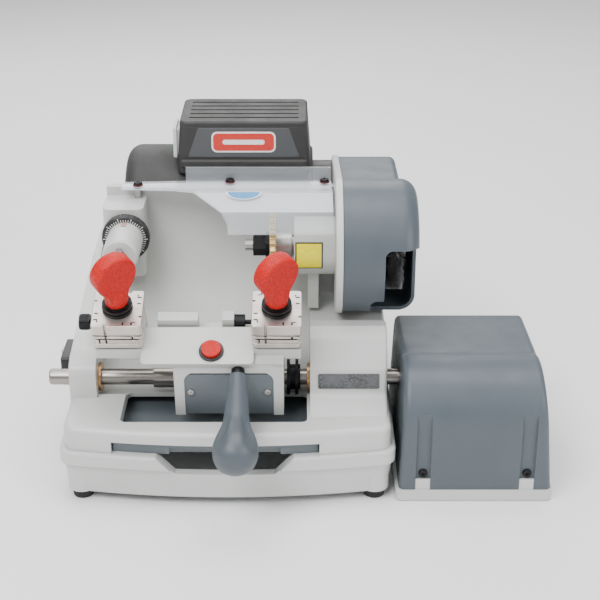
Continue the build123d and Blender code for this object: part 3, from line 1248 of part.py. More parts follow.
with BuildPart() as belt_cover:
    add(cover_solid(0))
    add(cover_solid(COVER_WALL), mode=Mode.SUBTRACT)
    # opening in front of the brush
    with BuildSketch(Plane.XZ.offset(-SPINDLE_Y + 12)):
        with Locations(((BRUSH_LEFT - 2 + COVER_RIGHT + 2) / 2, (OPENING_TOP + OPENING_BOTTOM) / 2)):
            RectangleRounded(COVER_RIGHT + 2 - BRUSH_LEFT + 2, OPENING_TOP - OPENING_BOTTOM, 6)
        with Locations(((BRUSH_LEFT - 13 + COVER_RIGHT) / 2, OPENING_BOTTOM + 12)):
            RectangleRounded(COVER_RIGHT - BRUSH_LEFT + 13, 24, 6)
    extrude(amount=COVER_RADIUS, mode=Mode.SUBTRACT)
belt_cover.part.label = "belt_cover"
export_step(belt_cover.part, "parts/belt_cover.step")

# -------------------------------------------------------------- safety shield

SHEET = 2.0
WASHER = 1.0                 # rubber washers under the screw heads
SCREW_RADIUS, SCREW_HEAD_RADIUS, SCREW_HEAD = 2.0, 3.8, 2.2
SHIELD_RIGHT = FLANGE_LEFT - 2.0
SHIELD_LEFT = CHEEK_INNER + 15.0
SHIELD_BASE_Z = WALL_TOP + 1.0
SHIELD_REAR = WALL_BACK_Y + 3.0
SHIELD_SCREWS = [
    (TRACER_X + 8, WALL_FACE_Y - 4.6, TOWER_TOP),
    (CUTTER_X - 40, (WALL_FACE_Y + WALL_BACK_Y) / 2, WALL_TOP),
    (SHIELD_RIGHT - 6, (WALL_FACE_Y + WALL_BACK_Y) / 2, WALL_TOP),
]
SHIELD_TOP_LINE = (
    (WALL_FACE_Y - 10, SHIELD_BASE_Z),
    (SPINDLE_Y + 8, SPINDLE_Z + CUTTER_RADIUS + 5),
)

with BuildPart() as safety_shield:
    with BuildSketch(Plane.YZ.offset(SHIELD_LEFT)):
        with BuildLine():
            Polyline(
                (SHIELD_REAR, SHIELD_BASE_Z + 14),
                (SHIELD_REAR, SHIELD_BASE_Z),
                *SHIELD_TOP_LINE,
                (SPINDLE_Y - 22, SPINDLE_Z + CUTTER_RADIUS - 1),
                (SPINDLE_Y - 36, SPINDLE_Z + CUTTER_RADIUS - 16),
            )
            offset(amount=SHEET, side=Side.RIGHT)
        make_face()
    extrude(amount=SHIELD_RIGHT - SHIELD_LEFT)
    with BuildSketch(Plane.XY.offset(SPINDLE_Z)):
        Polygon(
            (SHIELD_RIGHT, SHIELD_REAR + 5),
            (CHEEK_INNER + 71, SHIELD_REAR + 5),
            (CHEEK_INNER + 71, SHIELD_REAR - 4),
            (SHIELD_LEFT, SHIELD_REAR - 7),
            (SHIELD_LEFT, SHIELD_REAR - 28),
            (CHEEK_INNER + 64, SHIELD_REAR - 42),
            (CUTTER_X - 38, SPINDLE_Y - 30),
            (CUTTER_X - 36, SPINDLE_Y - 50),
            (SHIELD_RIGHT, SPINDLE_Y - 50),
            align=None,
        )
    extrude(amount=80, mode=Mode.INTERSECT)
    with BuildSketch(Plane.XY.offset(SPINDLE_Z)):
        with Locations(*[(x, y) for x, y, z in SHIELD_SCREWS]):
            Circle(SCREW_RADIUS + 0.2)
    extrude(amount=60, mode=Mode.SUBTRACT)
safety_shield.part.label = "safety_shield"
export_step(safety_shield.part, "parts/safety_shield.step")

# the tall stand-off rests on the tower, the two low ones on the wall top
with BuildPart() as shield_standoffs:
    for standoff_x, standoff_y, standoff_z in SHIELD_SCREWS:
        with BuildSketch(Plane.XY.offset(standoff_z)):
            with Locations((standoff_x, standoff_y)):
                RegularPolygon(4, 6)
                Circle(SCREW_RADIUS, mode=Mode.SUBTRACT)
        extrude(amount=SHIELD_BASE_Z - standoff_z)
shield_standoffs.part.label = "shield_standoffs"
export_step(shield_standoffs.part, "parts/shield_standoffs.step")

DRIVE_SCREW_Z = PLATE_THICKNESS + TAB_HEIGHT + 5

with BuildPart() as cover_screws:
    for screw_x, screw_y, screw_z in SHIELD_SCREWS:
        head_plane = Plane((screw_x, screw_y, SHIELD_BASE_Z + SHEET + WASHER))
        shank = SHIELD_BASE_Z + SHEET + WASHER - screw_z
        add(screw(head_plane, SCREW_RADIUS, shank, SCREW_HEAD_RADIUS, SCREW_HEAD))
    for channel_x in CHANNELS:
        head_plane = Plane(
            origin=(channel_x, DRIVE_FRONT + CHANNEL_DEPTH, DRIVE_SCREW_Z),
            x_dir=(1, 0, 0), z_dir=(0, -1, 0),
        )
        add(screw(head_plane, SCREW_RADIUS, DRIVE_WALL, SCREW_HEAD_RADIUS, SCREW_HEAD))
cover_screws.part.label = "cover_screws"
export_step(cover_screws.part, "parts/cover_screws.step")

# ---------------------------------------------------------------- terminal box


def box_solid(inset):
    """Drafted terminal box, or the space inside it for a positive inset."""
    with BuildPart() as shell:
        with BuildSketch(Plane.XY.offset(BOX_BOTTOM)) as foot:
            with Locations(((BOX_LEFT + BOX_RIGHT) / 2, (BOX_FRONT + BOX_BACK) / 2)):
                RectangleRounded(
                    BOX_RIGHT - BOX_LEFT - 2 * inset, BOX_BACK - BOX_FRONT - 2 * inset, 7 - inset
                )
        with BuildSketch(Plane.XY.offset(BOX_TOP)) as crown:
            with Locations(((BOX_LEFT + BOX_RIGHT) / 2, (BOX_FRONT + BOX_BACK) / 2 - BOX_SLOPE)):
                RectangleRounded(
                    BOX_RIGHT - BOX_LEFT - 2 * BOX_DRAFT - 2 * inset,
                    BOX_BACK - BOX_FRONT - 2 * BOX_SLOPE - 2 * inset - 2 * BOX_DRAFT,
                    7 - inset,
                )
        loft(ruled=True)
    return shell.part


with BuildPart() as terminal_box:
    add(box_solid(0))
    with BuildSketch(Plane.XZ.offset(-BOX_FRONT + 2)):
        with Locations(((BOX_LEFT + BOX_RIGHT) / 2, BOX_BOTTOM + 12)):
            Rectangle(BOX_RIGHT - BOX_LEFT + 10, 1.4)
    extrude(amount=-3.2, mode=Mode.SUBTRACT)
    # space for the capacitor and the switch
    with BuildSketch(Plane.XY.offset(BOX_BOTTOM)):
        with Locations(((BOX_LEFT + BOX_RIGHT) / 2, (BOX_FRONT + BOX_BACK) / 2 - BOX_SLOPE)):
            Rectangle(
                BOX_RIGHT - BOX_LEFT - 2 * BOX_DRAFT - 2 * BOX_WALL,
                BOX_BACK - BOX_FRONT - 2 * BOX_SLOPE - 2 * BOX_WALL - 2 * BOX_DRAFT,
            )
    extrude(amount=BOX_TOP - BOX_BOTTOM + 1, mode=Mode.SUBTRACT)
    add(motor_disc(BOX_LEFT - 5, MOTOR_RADIUS, 200), mode=Mode.SUBTRACT)
    add(motor_disc(BOX_LEFT - 5, MOTOR_RADIUS + 1, MOTOR_LEFT - BOX_LEFT + 5), mode=Mode.SUBTRACT)
    # window for the rocker switch
    with BuildSketch(Plane.YZ.offset(BOX_LEFT - 2)):
        with Locations((SWITCH_Y, SWITCH_Z)):
            Rectangle(SWITCH_LENGTH, SWITCH_HEIGHT)
    extrude(amount=16, mode=Mode.SUBTRACT)
terminal_box.part.label = "terminal_box"
export_step(terminal_box.part, "parts/terminal_box.step")

with BuildPart() as louvred_lid:
    with BuildSketch(Plane.XY.offset(BOX_TOP)):
        with Locations(((BOX_LEFT + BOX_RIGHT) / 2, (BOX_FRONT + BOX_BACK) / 2 - BOX_SLOPE)):
            RectangleRounded(
                BOX_RIGHT - BOX_LEFT - 2 * BOX_DRAFT, LID_DEPTH, 7
            )
    extrude(amount=LID_THICKNESS)
    fillet(louvred_lid.edges().group_by(Axis.Z)[-1], 2.4)
    with BuildSketch(Plane.XY.offset(BOX_TOP)):
        with Locations(((BOX_LEFT + BOX_RIGHT) / 2, (BOX_FRONT + BOX_BACK) / 2 - BOX_SLOPE)):
            with GridLocations(1, LID_DEPTH / 6.2, 1, 5):
                SlotOverall(BOX_RIGHT - BOX_LEFT - 2 * BOX_DRAFT - 16, 3)
    extrude(amount=LID_THICKNESS + 1, mode=Mode.SUBTRACT)
louvred_lid.part.label = "louvred_lid"
export_step(louvred_lid.part, "parts/louvred_lid.step")

with BuildPart() as run_capacitor:
    with BuildSketch(Plane.YZ.offset(BOX_LEFT + 36)):
        with Locations((MOTOR_Y - 12, BOX_TOP - 15)):
            Circle(13)
    extrude(amount=66)
    fillet(run_capacitor.edges().filter_by(GeomType.CIRCLE), 2)
run_capacitor.part.label = "run_capacitor"
export_step(run_capacitor.part, "parts/run_capacitor.step")

with BuildPart() as switch_bezel:
    with BuildSketch(Plane.YZ.offset(BOX_LEFT - 3)):
        with Locations((SWITCH_Y, SWITCH_Z)):
            RectangleRounded(SWITCH_LENGTH + 5, SWITCH_HEIGHT + 5, 2)
    extrude(amount=3)
    with BuildSketch(Plane.YZ.offset(BOX_LEFT - 3)):
        with Locations((SWITCH_Y, SWITCH_Z)):
            Rectangle(SWITCH_LENGTH, SWITCH_HEIGHT)
    extrude(amount=15)
    with BuildSketch(Plane.YZ.offset(BOX_LEFT - 3)):
        with Locations((SWITCH_Y, SWITCH_Z)):
            Rectangle(SWITCH_LENGTH - 3, SWITCH_HEIGHT - 3)
    extrude(amount=13, mode=Mode.SUBTRACT)
switch_bezel.part.label = "switch_bezel"
export_step(switch_bezel.part, "parts/switch_bezel.step")

with BuildPart() as switch_rocker:
    with BuildSketch(Plane.XZ.offset(-SWITCH_Y - (SWITCH_LENGTH - 4) / 2)):
        with BuildLine():
            half = (SWITCH_HEIGHT - 5) / 2
            Polyline(
                (BOX_LEFT + 1, SWITCH_Z - half),
                (BOX_LEFT - 4.4, SWITCH_Z - half),
                (BOX_LEFT - 3, SWITCH_Z),
                (BOX_LEFT - 1.6, SWITCH_Z + half),
                (BOX_LEFT + 1, SWITCH_Z + half),
                (BOX_LEFT + 6, SWITCH_Z),
                close=True,
            )
        make_face()
    extrude(amount=SWITCH_LENGTH - 4)
switch_rocker.part.label = "switch_rocker"
export_step(switch_rocker.part, "parts/switch_rocker.step")

# ------------------------------------------------------------- feed drive unit

with BuildPart() as drive_plate:
    with BuildSketch(Plane.XY):
        with Locations(((PLATE_LEFT + PLATE_RIGHT) / 2, (PLATE_FRONT + PLATE_BACK) / 2)):
            RectangleRounded(PLATE_RIGHT - PLATE_LEFT, PLATE_BACK - PLATE_FRONT, 5)
    extrude(amount=PLATE_THICKNESS)
    # tongue that reaches under the base and ties the two together
    with BuildSketch(Plane.XY.offset(FOOT_HEIGHT)):
        with Locations(((BASE_RIGHT - 12 + PLATE_LEFT + 6) / 2, 0)):
            Rectangle(PLATE_LEFT + 6 - BASE_RIGHT + 12, 70)
    extrude(amount=-FOOT_HEIGHT + 3)
    # bracket for the feed motor
    with BuildSketch(Plane.XY.offset(PLATE_THICKNESS)):
        with Locations((PINION_X, MOTOR_FACE_Y - 24)):
            Rectangle(56, 40)
    extrude(amount=PINION_Z - 21 - PLATE_THICKNESS)
    with BuildSketch(Plane.XY.offset(PLATE_THICKNESS)):
        with Locations((PINION_X - 26, MOTOR_FACE_Y - 24), (PINION_X + 26, MOTOR_FACE_Y - 24)):
            Rectangle(4, 44)
    extrude(amount=PINION_Z + 8 - PLATE_THICKNESS)
    # tabs that the cover is screwed to
    with BuildSketch(Plane.XZ.offset(-DRIVE_FRONT - CHANNEL_DEPTH)):
        for tab_x in CHANNELS:
            with Locations((tab_x, PLATE_THICKNESS + TAB_HEIGHT / 2)):
                Rectangle(CHANNEL_WIDTH, TAB_HEIGHT)
    extrude(amount=CHANNEL_DEPTH - 0.3)
drive_plate.part.label = "drive_plate"
export_step(drive_plate.part, "parts/drive_plate.step")


def drive_profile(inset):
    """Side view of the feed cover: a round crest in front and a flat back."""
    crest = DRIVE_CREST_RADIUS - inset
    with BuildSketch() as profile:
        with BuildLine():
            end = radians(64)
            top = radians(120)
            crest_end = (DRIVE_CREST_Y + crest * cos(end), DRIVE_CREST_Z + crest * sin(end))
            Line((DRIVE_FRONT + inset, PLATE_THICKNESS), (DRIVE_FRONT + inset, DRIVE_CREST_Z))
            ThreePointArc(
                (DRIVE_FRONT + inset, DRIVE_CREST_Z),
                (DRIVE_CREST_Y + crest * cos(top), DRIVE_CREST_Z + crest * sin(top)),
                crest_end,
            )
            Polyline(
                crest_end,
                (DRIVE_CREST_Y + 34, DRIVE_CREST_Z + 40 - inset),
                (DRIVE_BACK - inset - 6, DRIVE_CREST_Z + 34 - inset),
                (DRIVE_BACK - inset, DRIVE_CREST_Z + 24 - inset),
                (DRIVE_BACK - inset, PLATE_THICKNESS),
                (DRIVE_FRONT + inset, PLATE_THICKNESS),
            )
        make_face()
    return profile.sketch


def drive_solid(inset):
    """The feed cover as a full body, or the space inside it for a positive inset."""
    top = DRIVE_CREST_Z + DRIVE_CREST_RADIUS
    with BuildPart() as shell:
        with BuildSketch(Plane.YZ.offset(DRIVE_LEFT + inset)):
            add(drive_profile(inset))
        extrude(amount=DRIVE_RIGHT - DRIVE_LEFT - 2 * inset)
        for foot_x, lean, outside in (
            (DRIVE_LEFT + inset, 4, -12), (DRIVE_RIGHT - inset, -9, 12)
        ):
            with BuildSketch(Plane.XZ.offset(-DRIVE_BACK - 10)):
                Polygon(
                    (foot_x, PLATE_THICKNESS), (foot_x + lean, top + 1),
                    (foot_x + outside, top + 1), (foot_x + outside, PLATE_THICKNESS),
                    align=None,
                )
            extrude(amount=DRIVE_BACK - DRIVE_FRONT + 30, mode=Mode.SUBTRACT)
        if inset == 0:
            rims = shell.edges().filter_by(
                lambda e: (e.center().X < DRIVE_LEFT + 8 or e.center().X > DRIVE_RIGHT - 12)
                and e.center().Z > PLATE_THICKNESS + 1
            )
            fillet(rims, DRIVE_EDGE)
    return shell.part


with BuildPart() as drive_cover:
    add(drive_solid(0))
    add(drive_solid(DRIVE_WALL + CHANNEL_DEPTH), mode=Mode.SUBTRACT)
    # channels down the front, with the screws at their feet
    with BuildSketch(Plane.XZ.offset(-DRIVE_FRONT - CHANNEL_DEPTH)):
        for channel_x in CHANNELS:
            with Locations((channel_x, (PLATE_THICKNESS + CHANNEL_TOP) / 2 - 10)):
                SlotOverall(CHANNEL_TOP - PLATE_THICKNESS + 20, CHANNEL_WIDTH, rotation=90)
    extrude(amount=CHANNEL_DEPTH + 20, mode=Mode.SUBTRACT)
    with BuildSketch(axis_plane(DRIVE_LEFT - 2, SHAFT_Y, SHAFT_Z)):
        Circle(SHAFT_RADIUS + 1.5)
    extrude(amount=30, mode=Mode.SUBTRACT)
    with BuildSketch(Plane.XZ.offset(-DRIVE_FRONT)):
        with Locations(*[(channel_x, DRIVE_SCREW_Z) for channel_x in CHANNELS]):
            Circle(SCREW_RADIUS)
    extrude(amount=-12, mode=Mode.SUBTRACT)
drive_cover.part.label = "drive_cover"
export_step(drive_cover.part, "parts/drive_cover.step")

# ------------------------------------------------------------- inlet and badge

with BuildPart() as power_inlet:
    with BuildSketch(Plane.YZ.offset(CHEEK_INNER - CHEEK_WIDTH)):
        with Locations((INLET_Y, INLET_Z)):
            RectangleRounded(40, 28, 3)
    extrude(amount=-INLET_PROUD)
    fillet(power_inlet.edges().group_by(Axis.X)[0], 1.5)
    with BuildSketch(Plane.YZ.offset(CHEEK_INNER - CHEEK_WIDTH - INLET_PROUD)):
        with Locations((INLET_Y - 8, INLET_Z)):
            Rectangle(18, 22)
    extrude(amount=14, mode=Mode.SUBTRACT)
    with BuildSketch(Plane.YZ.offset(CHEEK_INNER - CHEEK_WIDTH - INLET_PROUD + 3)):
        for pin_z in (-7, 0, 7):
            with Locations((INLET_Y - 8, INLET_Z + pin_z)):
                Rectangle(5, 2)
    extrude(amount=11)
power_inlet.part.label = "power_inlet"
export_step(power_inlet.part, "parts/power_inlet.step")

with BuildPart() as fuse_drawer:
    with BuildSketch(Plane.XY.offset(INLET_Z - 10)):
        with BuildLine():
            Polyline(
                (CHEEK_INNER - CHEEK_WIDTH - INLET_PROUD, INLET_Y + 3),
                (CHEEK_INNER - CHEEK_WIDTH - INLET_PROUD - 3, INLET_Y + 3),
                (CHEEK_INNER - CHEEK_WIDTH - INLET_PROUD - 0.6, INLET_Y + 16),
                (CHEEK_INNER - CHEEK_WIDTH - INLET_PROUD, INLET_Y + 16),
                close=True,
            )
        make_face()
    extrude(amount=20)
fuse_drawer.part.label = "fuse_drawer"
export_step(fuse_drawer.part, "parts/fuse_drawer.step")

BADGE_TILT = atan(2 / 22)
BADGE_RISE = 1.0             # above the middle of the face
with BuildPart() as housing_badge:
    badge_plane = Plane(
        origin=(
            (HOUSING_LEFT + HOUSING_RIGHT) / 2,
            HOUSING_FRONT + BADGE_RISE / 11,
            DECK_TOP + 19 + BADGE_RISE,
        ),
        x_dir=(1, 0, 0),
        z_dir=(0, -cos(BADGE_TILT), sin(BADGE_TILT)),
    )
    with BuildSketch(badge_plane):
        RectangleRounded(52, 13.5, 1.5)
    extrude(amount=0.6)
housing_badge.part.label = "housing_badge"
export_step(housing_badge.part, "parts/housing_badge.step")
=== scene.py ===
"""Looks of the key duplicating machine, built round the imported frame, in metres."""

import json
import math
import random

import bmesh
import bpy
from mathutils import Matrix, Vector


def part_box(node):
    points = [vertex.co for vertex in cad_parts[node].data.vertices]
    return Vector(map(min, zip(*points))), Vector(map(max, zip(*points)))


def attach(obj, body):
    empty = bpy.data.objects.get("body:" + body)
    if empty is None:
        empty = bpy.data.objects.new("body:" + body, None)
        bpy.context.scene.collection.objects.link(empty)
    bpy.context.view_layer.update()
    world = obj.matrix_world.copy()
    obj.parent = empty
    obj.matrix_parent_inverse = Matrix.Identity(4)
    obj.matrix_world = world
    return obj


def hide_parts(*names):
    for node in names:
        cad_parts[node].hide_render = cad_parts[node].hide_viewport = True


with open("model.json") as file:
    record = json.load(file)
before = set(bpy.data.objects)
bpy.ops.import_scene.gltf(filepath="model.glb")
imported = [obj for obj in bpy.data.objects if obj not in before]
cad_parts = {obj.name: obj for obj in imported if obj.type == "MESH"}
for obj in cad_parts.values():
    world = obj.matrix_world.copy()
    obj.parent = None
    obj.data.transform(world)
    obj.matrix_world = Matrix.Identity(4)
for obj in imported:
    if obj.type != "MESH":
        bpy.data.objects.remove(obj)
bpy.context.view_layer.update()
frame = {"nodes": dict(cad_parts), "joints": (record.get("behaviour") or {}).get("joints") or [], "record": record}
NODES = frame["nodes"]
JOINTS = {joint["name"]: joint for joint in frame["joints"]}
MM = 0.001
X, Y, Z = Vector((1, 0, 0)), Vector((0, 1, 0)), Vector((0, 0, 1))

# ------------------------------------------------------------------ camera and light

camera_data = bpy.data.cameras.new("camera")
camera_data.lens = 81.0
camera_data.sensor_width = 36.0
camera = bpy.data.objects.new("camera", camera_data)
bpy.context.scene.collection.objects.link(camera)
camera.location = (0.003, -1.0775, 0.6347)
aim = Vector((0.003, -0.038, 0.150)) - camera.location
camera.rotation_euler = aim.to_track_quat("-Z", "Y").to_euler()
bpy.context.scene.camera = camera


def area_light(name, place, target, size, power, shade=(1.0, 1.0, 1.0)):
    """Soft rectangular studio light aimed at a point."""
    data = bpy.data.lights.new(name, "AREA")
    data.shape = "RECTANGLE"
    data.size, data.size_y = size
    data.energy = power
    data.color = shade
    lamp = bpy.data.objects.new(name, data)
    lamp.location = place
    lamp.rotation_euler = (Vector(target) - Vector(place)).to_track_quat("-Z", "Y").to_euler()
    bpy.context.scene.collection.objects.link(lamp)


area_light("key_light", (-0.7, -1.0, 1.5), (0, 0, 0.1), (1.0, 0.8), 30)
area_light("fill_light", (1.2, -0.9, 0.9), (0, 0, 0.1), (0.9, 0.9), 11)
area_light("top_light", (0.0, 0.1, 1.7), (0, 0, 0.1), (1.5, 1.1), 25)
area_light("rim_light", (-0.3, 1.4, 1.0), (0, 0, 0.2), (1.4, 0.6), 12)

world = bpy.data.worlds.new("studio")
bpy.context.scene.world = world
world.use_nodes = True
world.node_tree.nodes["Background"].inputs[0].default_value = (1.0, 1.0, 1.0, 1)
world.node_tree.nodes["Background"].inputs[1].default_value = 0.62

# ------------------------------------------------------------------ materials


class Shader:
    """A material under construction: a Principled shader and the nodes that feed it."""

    def __init__(self, name, roughness, metallic=0.0):
        self.material = bpy.data.materials.new(name)
        self.material.use_nodes = True
        self.tree = self.material.node_tree
        self.principled = self.tree.nodes["Principled BSDF"]
        self.principled.inputs["Roughness"].default_value = roughness
        self.principled.inputs["Metallic"].default_value = metallic
        self.coordinates = self.node("ShaderNodeTexCoord").outputs["Object"]
        self.normal = None

    def node(self, kind, **settings):
        made = self.tree.nodes.new(kind)
        for key, value in settings.items():
            setattr(made, key, value)
        return made

    def link(self, source, target):
        self.tree.links.new(source, target)

    def noise(self, scale, detail=3.0, stretch=(1, 1, 1), roughness=0.55):
        """Noise over the object, with its size in features a metre."""
        mapping = self.node("ShaderNodeMapping")
        mapping.inputs["Scale"].default_value = stretch
        self.link(self.coordinates, mapping.inputs["Vector"])
        made = self.node("ShaderNodeTexNoise")
        made.inputs["Scale"].default_value = scale
        made.inputs["Detail"].default_value = detail
        made.inputs["Roughness"].default_value = roughness
        self.link(mapping.outputs["Vector"], made.inputs["Vector"])
        return made.outputs["Fac"]

    def cells(self, scale, feature="F1", stretch=(1, 1, 1)):
        """Cell pattern over the object."""
        mapping = self.node("ShaderNodeMapping")
        mapping.inputs["Scale"].default_value = stretch
        self.link(self.coordinates, mapping.inputs["Vector"])
        made = self.node("ShaderNodeTexVoronoi", feature=feature)
        made.inputs["Scale"].default_value = scale
        self.link(mapping.outputs["Vector"], made.inputs["Vector"])
        return made.outputs["Distance"]

    def ramp(self, source, stops):
        """Colour or grey ramp of a value."""
        made = self.node("ShaderNodeValToRGB")
        elements = made.color_ramp.elements
        while len(elements) < len(stops):
            elements.new(0.5)
        for element, (place, shade) in zip(elements, stops):
            element.position = place
            element.color = (*shade, 1) if len(shade) == 3 else shade
        self.link(source, made.inputs["Fac"])
        return made.outputs["Color"]

    def blend(self, factor, first, second):
        """Mixes two colours, each one a socket or a plain colour."""
        made = self.node("ShaderNodeMix", data_type="RGBA")
        self.link(factor, made.inputs["Factor"])
        for source, socket in ((first, made.inputs["A"]), (second, made.inputs["B"])):
            if isinstance(source, tuple):
                socket.default_value = (*source, 1)
            else:
                self.link(source, socket)
        return made.outputs["Result"]

    def edges(self, radius):
        """Softens the corners in the shading, and gives a mask of the corners."""
        bevel = self.node("ShaderNodeBevel", samples=6)
        bevel.inputs["Radius"].default_value = radius
        geometry = self.node("ShaderNodeNewGeometry")
        dot = self.node("ShaderNodeVectorMath", operation="DOT_PRODUCT")
        self.link(bevel.outputs["Normal"], dot.inputs[0])
        self.link(geometry.outputs["Normal"], dot.inputs[1])
        self.normal = bevel.outputs["Normal"]
        return self.ramp(dot.outputs["Value"], [(0.80, (1, 1, 1)), (0.97, (0, 0, 0))])

    def bump(self, height, strength, distance):
        """Adds relief over what is there already."""
        made = self.node("ShaderNodeBump")
        made.inputs["Strength"].default_value = strength
        made.inputs["Distance"].default_value = distance
        self.link(height, made.inputs["Height"])
        if self.normal is not None:
            self.link(self.normal, made.inputs["Normal"])
        self.normal = made.outputs["Normal"]

    def rough(self, source, low, high):
        self.link(
            self.ramp(source, [(0.3, (low, low, low)), (0.7, (high, high, high))]),
            self.principled.inputs["Roughness"],
        )

    def done(self, colour=None):
        if colour is not None:
            self.link(colour, self.principled.inputs["Base Color"])
        if self.normal is not None:
            self.link(self.normal, self.principled.inputs["Normal"])
        return self.material


def shade(colour, factor):
    return tuple(min(1.0, channel * factor) for channel in colour)


def paint(name, colour, roughness, peel, peel_scale, wear, edge=0.0008, coat=0.0):
    """Sprayed enamel: orange peel, faint clouding, dust specks and rubbed corners."""
    s = Shader(name, roughness)
    corner = s.edges(edge)
    s.bump(s.noise(peel_scale, 4), peel, 0.0004)
    cloud = s.ramp(s.noise(9, 3), [(0.3, shade(colour, 0.95)), (0.7, shade(colour, 1.04))])
    speck = s.ramp(s.noise(1400, 2), [(0.30, (0.75, 0.75, 0.75)), (0.37, (0, 0, 0))])
    marked = s.blend(speck, cloud, shade(colour, 0.86))
    worn = s.blend(
        s.ramp(s.noise(160, 4), [(0.42, (0, 0, 0)), (0.60, (1, 1, 1))]), marked, wear
    )
    s.rough(s.noise(60, 3), roughness - 0.05, roughness + 0.07)
    s.principled.inputs["Coat Weight"].default_value = coat
    s.principled.inputs["Coat Roughness"].default_value = 0.25
    return s.done(s.blend(corner, marked, worn))


def plastic(name, colour, roughness, texture, texture_scale, edge=0.0008):
    """Moulded plastic: spark-eroded grain, faint flow marks and shiny rubbed corners."""
    s = Shader(name, roughness)
    corner = s.edges(edge)
    s.bump(s.cells(texture_scale), texture, 0.00025)
    s.bump(s.noise(texture_scale * 0.5, 4), texture * 0.6, 0.0003)
    flow = s.noise(14, 4, (1, 1, 0.4))
    body = s.ramp(flow, [(0.3, shade(colour, 0.90)), (0.7, shade(colour, 1.10))])
    grain = s.ramp(s.noise(1800, 2), [(0.35, (0.5, 0.5, 0.5)), (0.6, (0, 0, 0))])
    body = s.blend(grain, body, shade(colour, 0.75))
    s.rough(s.noise(45, 3), roughness - 0.06, roughness + 0.08)
    return s.done(s.blend(corner, body, shade(colour, 1.5)))


def metal(name, colour, roughness, brushing=(1, 1, 1), scale=900, depth=0.15, edge=0.0005, stain=0.8):
    """Machined metal: tool marks along one direction, stains and bright corners."""
    s = Shader(name, roughness, 1.0)
    corner = s.edges(edge)
    marks = s.noise(scale, 5, brushing)
    s.bump(marks, depth, 0.00015)
    body = s.ramp(s.noise(55, 5), [(0.30, shade(colour, stain)), (0.65, colour)])
    streak = s.ramp(marks, [(0.35, (0.55, 0.55, 0.55)), (0.65, (0, 0, 0))])
    body = s.blend(streak, body, shade(colour, 0.8))
    s.rough(s.noise(120, 4, brushing), roughness - 0.08, roughness + 0.12)
    return s.done(s.blend(corner, body, shade(colour, 1.25)))


LIGHT = (0.535, 0.55, 0.53)
BLUE_GREY = (0.072, 0.090, 0.106)
CHARCOAL = (0.026, 0.025, 0.0245)

M = {
    "light_paint": paint("light_paint", LIGHT, 0.36, 0.16, 700, (0.44, 0.44, 0.42), coat=0.15),
    "blue_grey": plastic("blue_grey", BLUE_GREY, 0.40, 0.22, 2200),
    "blue_grey_paint": paint(
        "blue_grey_paint", (0.115, 0.135, 0.150), 0.42, 0.20, 900, (0.24, 0.25, 0.26)
    ),
    "charcoal": plastic("charcoal", CHARCOAL, 0.55, 0.45, 1500),
    "charcoal_paint": paint(
        "charcoal_paint", (0.022, 0.022, 0.023), 0.45, 0.25, 800, (0.09, 0.09, 0.09)
    ),
    "black_plastic": plastic("black_plastic", (0.012, 0.012, 0.013), 0.42, 0.2, 1900),
    "black_steel": metal("black_steel", (0.030, 0.030, 0.032), 0.42, (1, 1, 1), 900, 0.2),
    "nickel": metal("nickel", (0.66, 0.605, 0.565), 0.38, (0.25, 1, 1), 1400, 0.12),
    "ground_steel": metal("ground_steel", (0.36, 0.33, 0.31), 0.27, (0.05, 1, 1), 1600, 0.10),
    "steel": metal("steel", (0.52, 0.51, 0.50), 0.33, (1, 1, 0.3), 1200, 0.14),
    "cutter_steel": metal("cutter_steel", (0.66, 0.50, 0.22), 0.28, (1, 0.3, 1), 1500, 0.12),
    "bronze": metal("bronze", (0.62, 0.36, 0.18), 0.32, (1, 1, 1), 1300, 0.12),
    "rubber": plastic("rubber", (0.012, 0.012, 0.012), 0.75, 0.3, 1600),
    "green_plastic": plastic("green_plastic", (0.01, 0.22, 0.09), 0.25, 0.08, 1200),
    "pale_plastic": plastic("pale_plastic", (0.58, 0.60, 0.57), 0.38, 0.12, 1500),
    "copper_iron": metal("copper_iron", (0.30, 0.20, 0.13), 0.5, (1, 0.1, 0.1), 1200, 0.3),
}


def red_speckled():
    """Red moulding with pale and dark flecks in it."""
    s = Shader("red_speckled", 0.48)
    s.principled.inputs["Specular IOR Level"].default_value = 0.3
    corner = s.edges(0.0006)
    s.bump(s.cells(1300), 0.5, 0.0003)
    s.bump(s.noise(500, 5), 0.35, 0.0005)
    body = s.ramp(
        s.noise(850, 4, roughness=0.7),
        [(0.34, (0.22, 0.002, 0.001)), (0.46, (0.47, 0.004, 0.002)), (0.60, (0.56, 0.008, 0.004)),
         (0.76, (0.74, 0.06, 0.03))],
    )
    s.rough(s.noise(300, 3), 0.40, 0.60)
    return s.done(s.blend(corner, body, (0.74, 0.06, 0.035)))


def clear_sheet():
    """Clear sheet, with cut edges that catch the light and fine rubbing marks."""
    s = Shader("clear_sheet", 0.10)
    s.principled.inputs["Base Color"].default_value = (0.80, 0.83, 0.87, 1)
    s.principled.inputs["IOR"].default_value = 1.55
    s.material.surface_render_method = "BLENDED"
    facing = s.node("ShaderNodeLayerWeight")
    facing.inputs["Blend"].default_value = 0.35
    haze = s.ramp(s.noise(26, 5, (0.3, 1, 1)), [(0.35, (0.0, 0.0, 0.0)), (0.75, (1, 1, 1))])
    rubbed = s.node("ShaderNodeMath", operation="MULTIPLY_ADD")
    s.link(haze, rubbed.inputs[0])
    rubbed.inputs[1].default_value = 0.10
    rubbed.inputs[2].default_value = 0.12
    opacity = s.node("ShaderNodeMath", operation="MULTIPLY_ADD", use_clamp=True)
    s.link(facing.outputs["Fresnel"], opacity.inputs[0])
    opacity.inputs[1].default_value = 0.75
    s.link(rubbed.outputs[0], opacity.inputs[2])
    s.link(opacity.outputs[0], s.principled.inputs["Alpha"])
    s.bump(s.noise(14, 3), 0.06, 0.002)
    s.rough(s.noise(70, 5), 0.05, 0.22)
    return s.done()


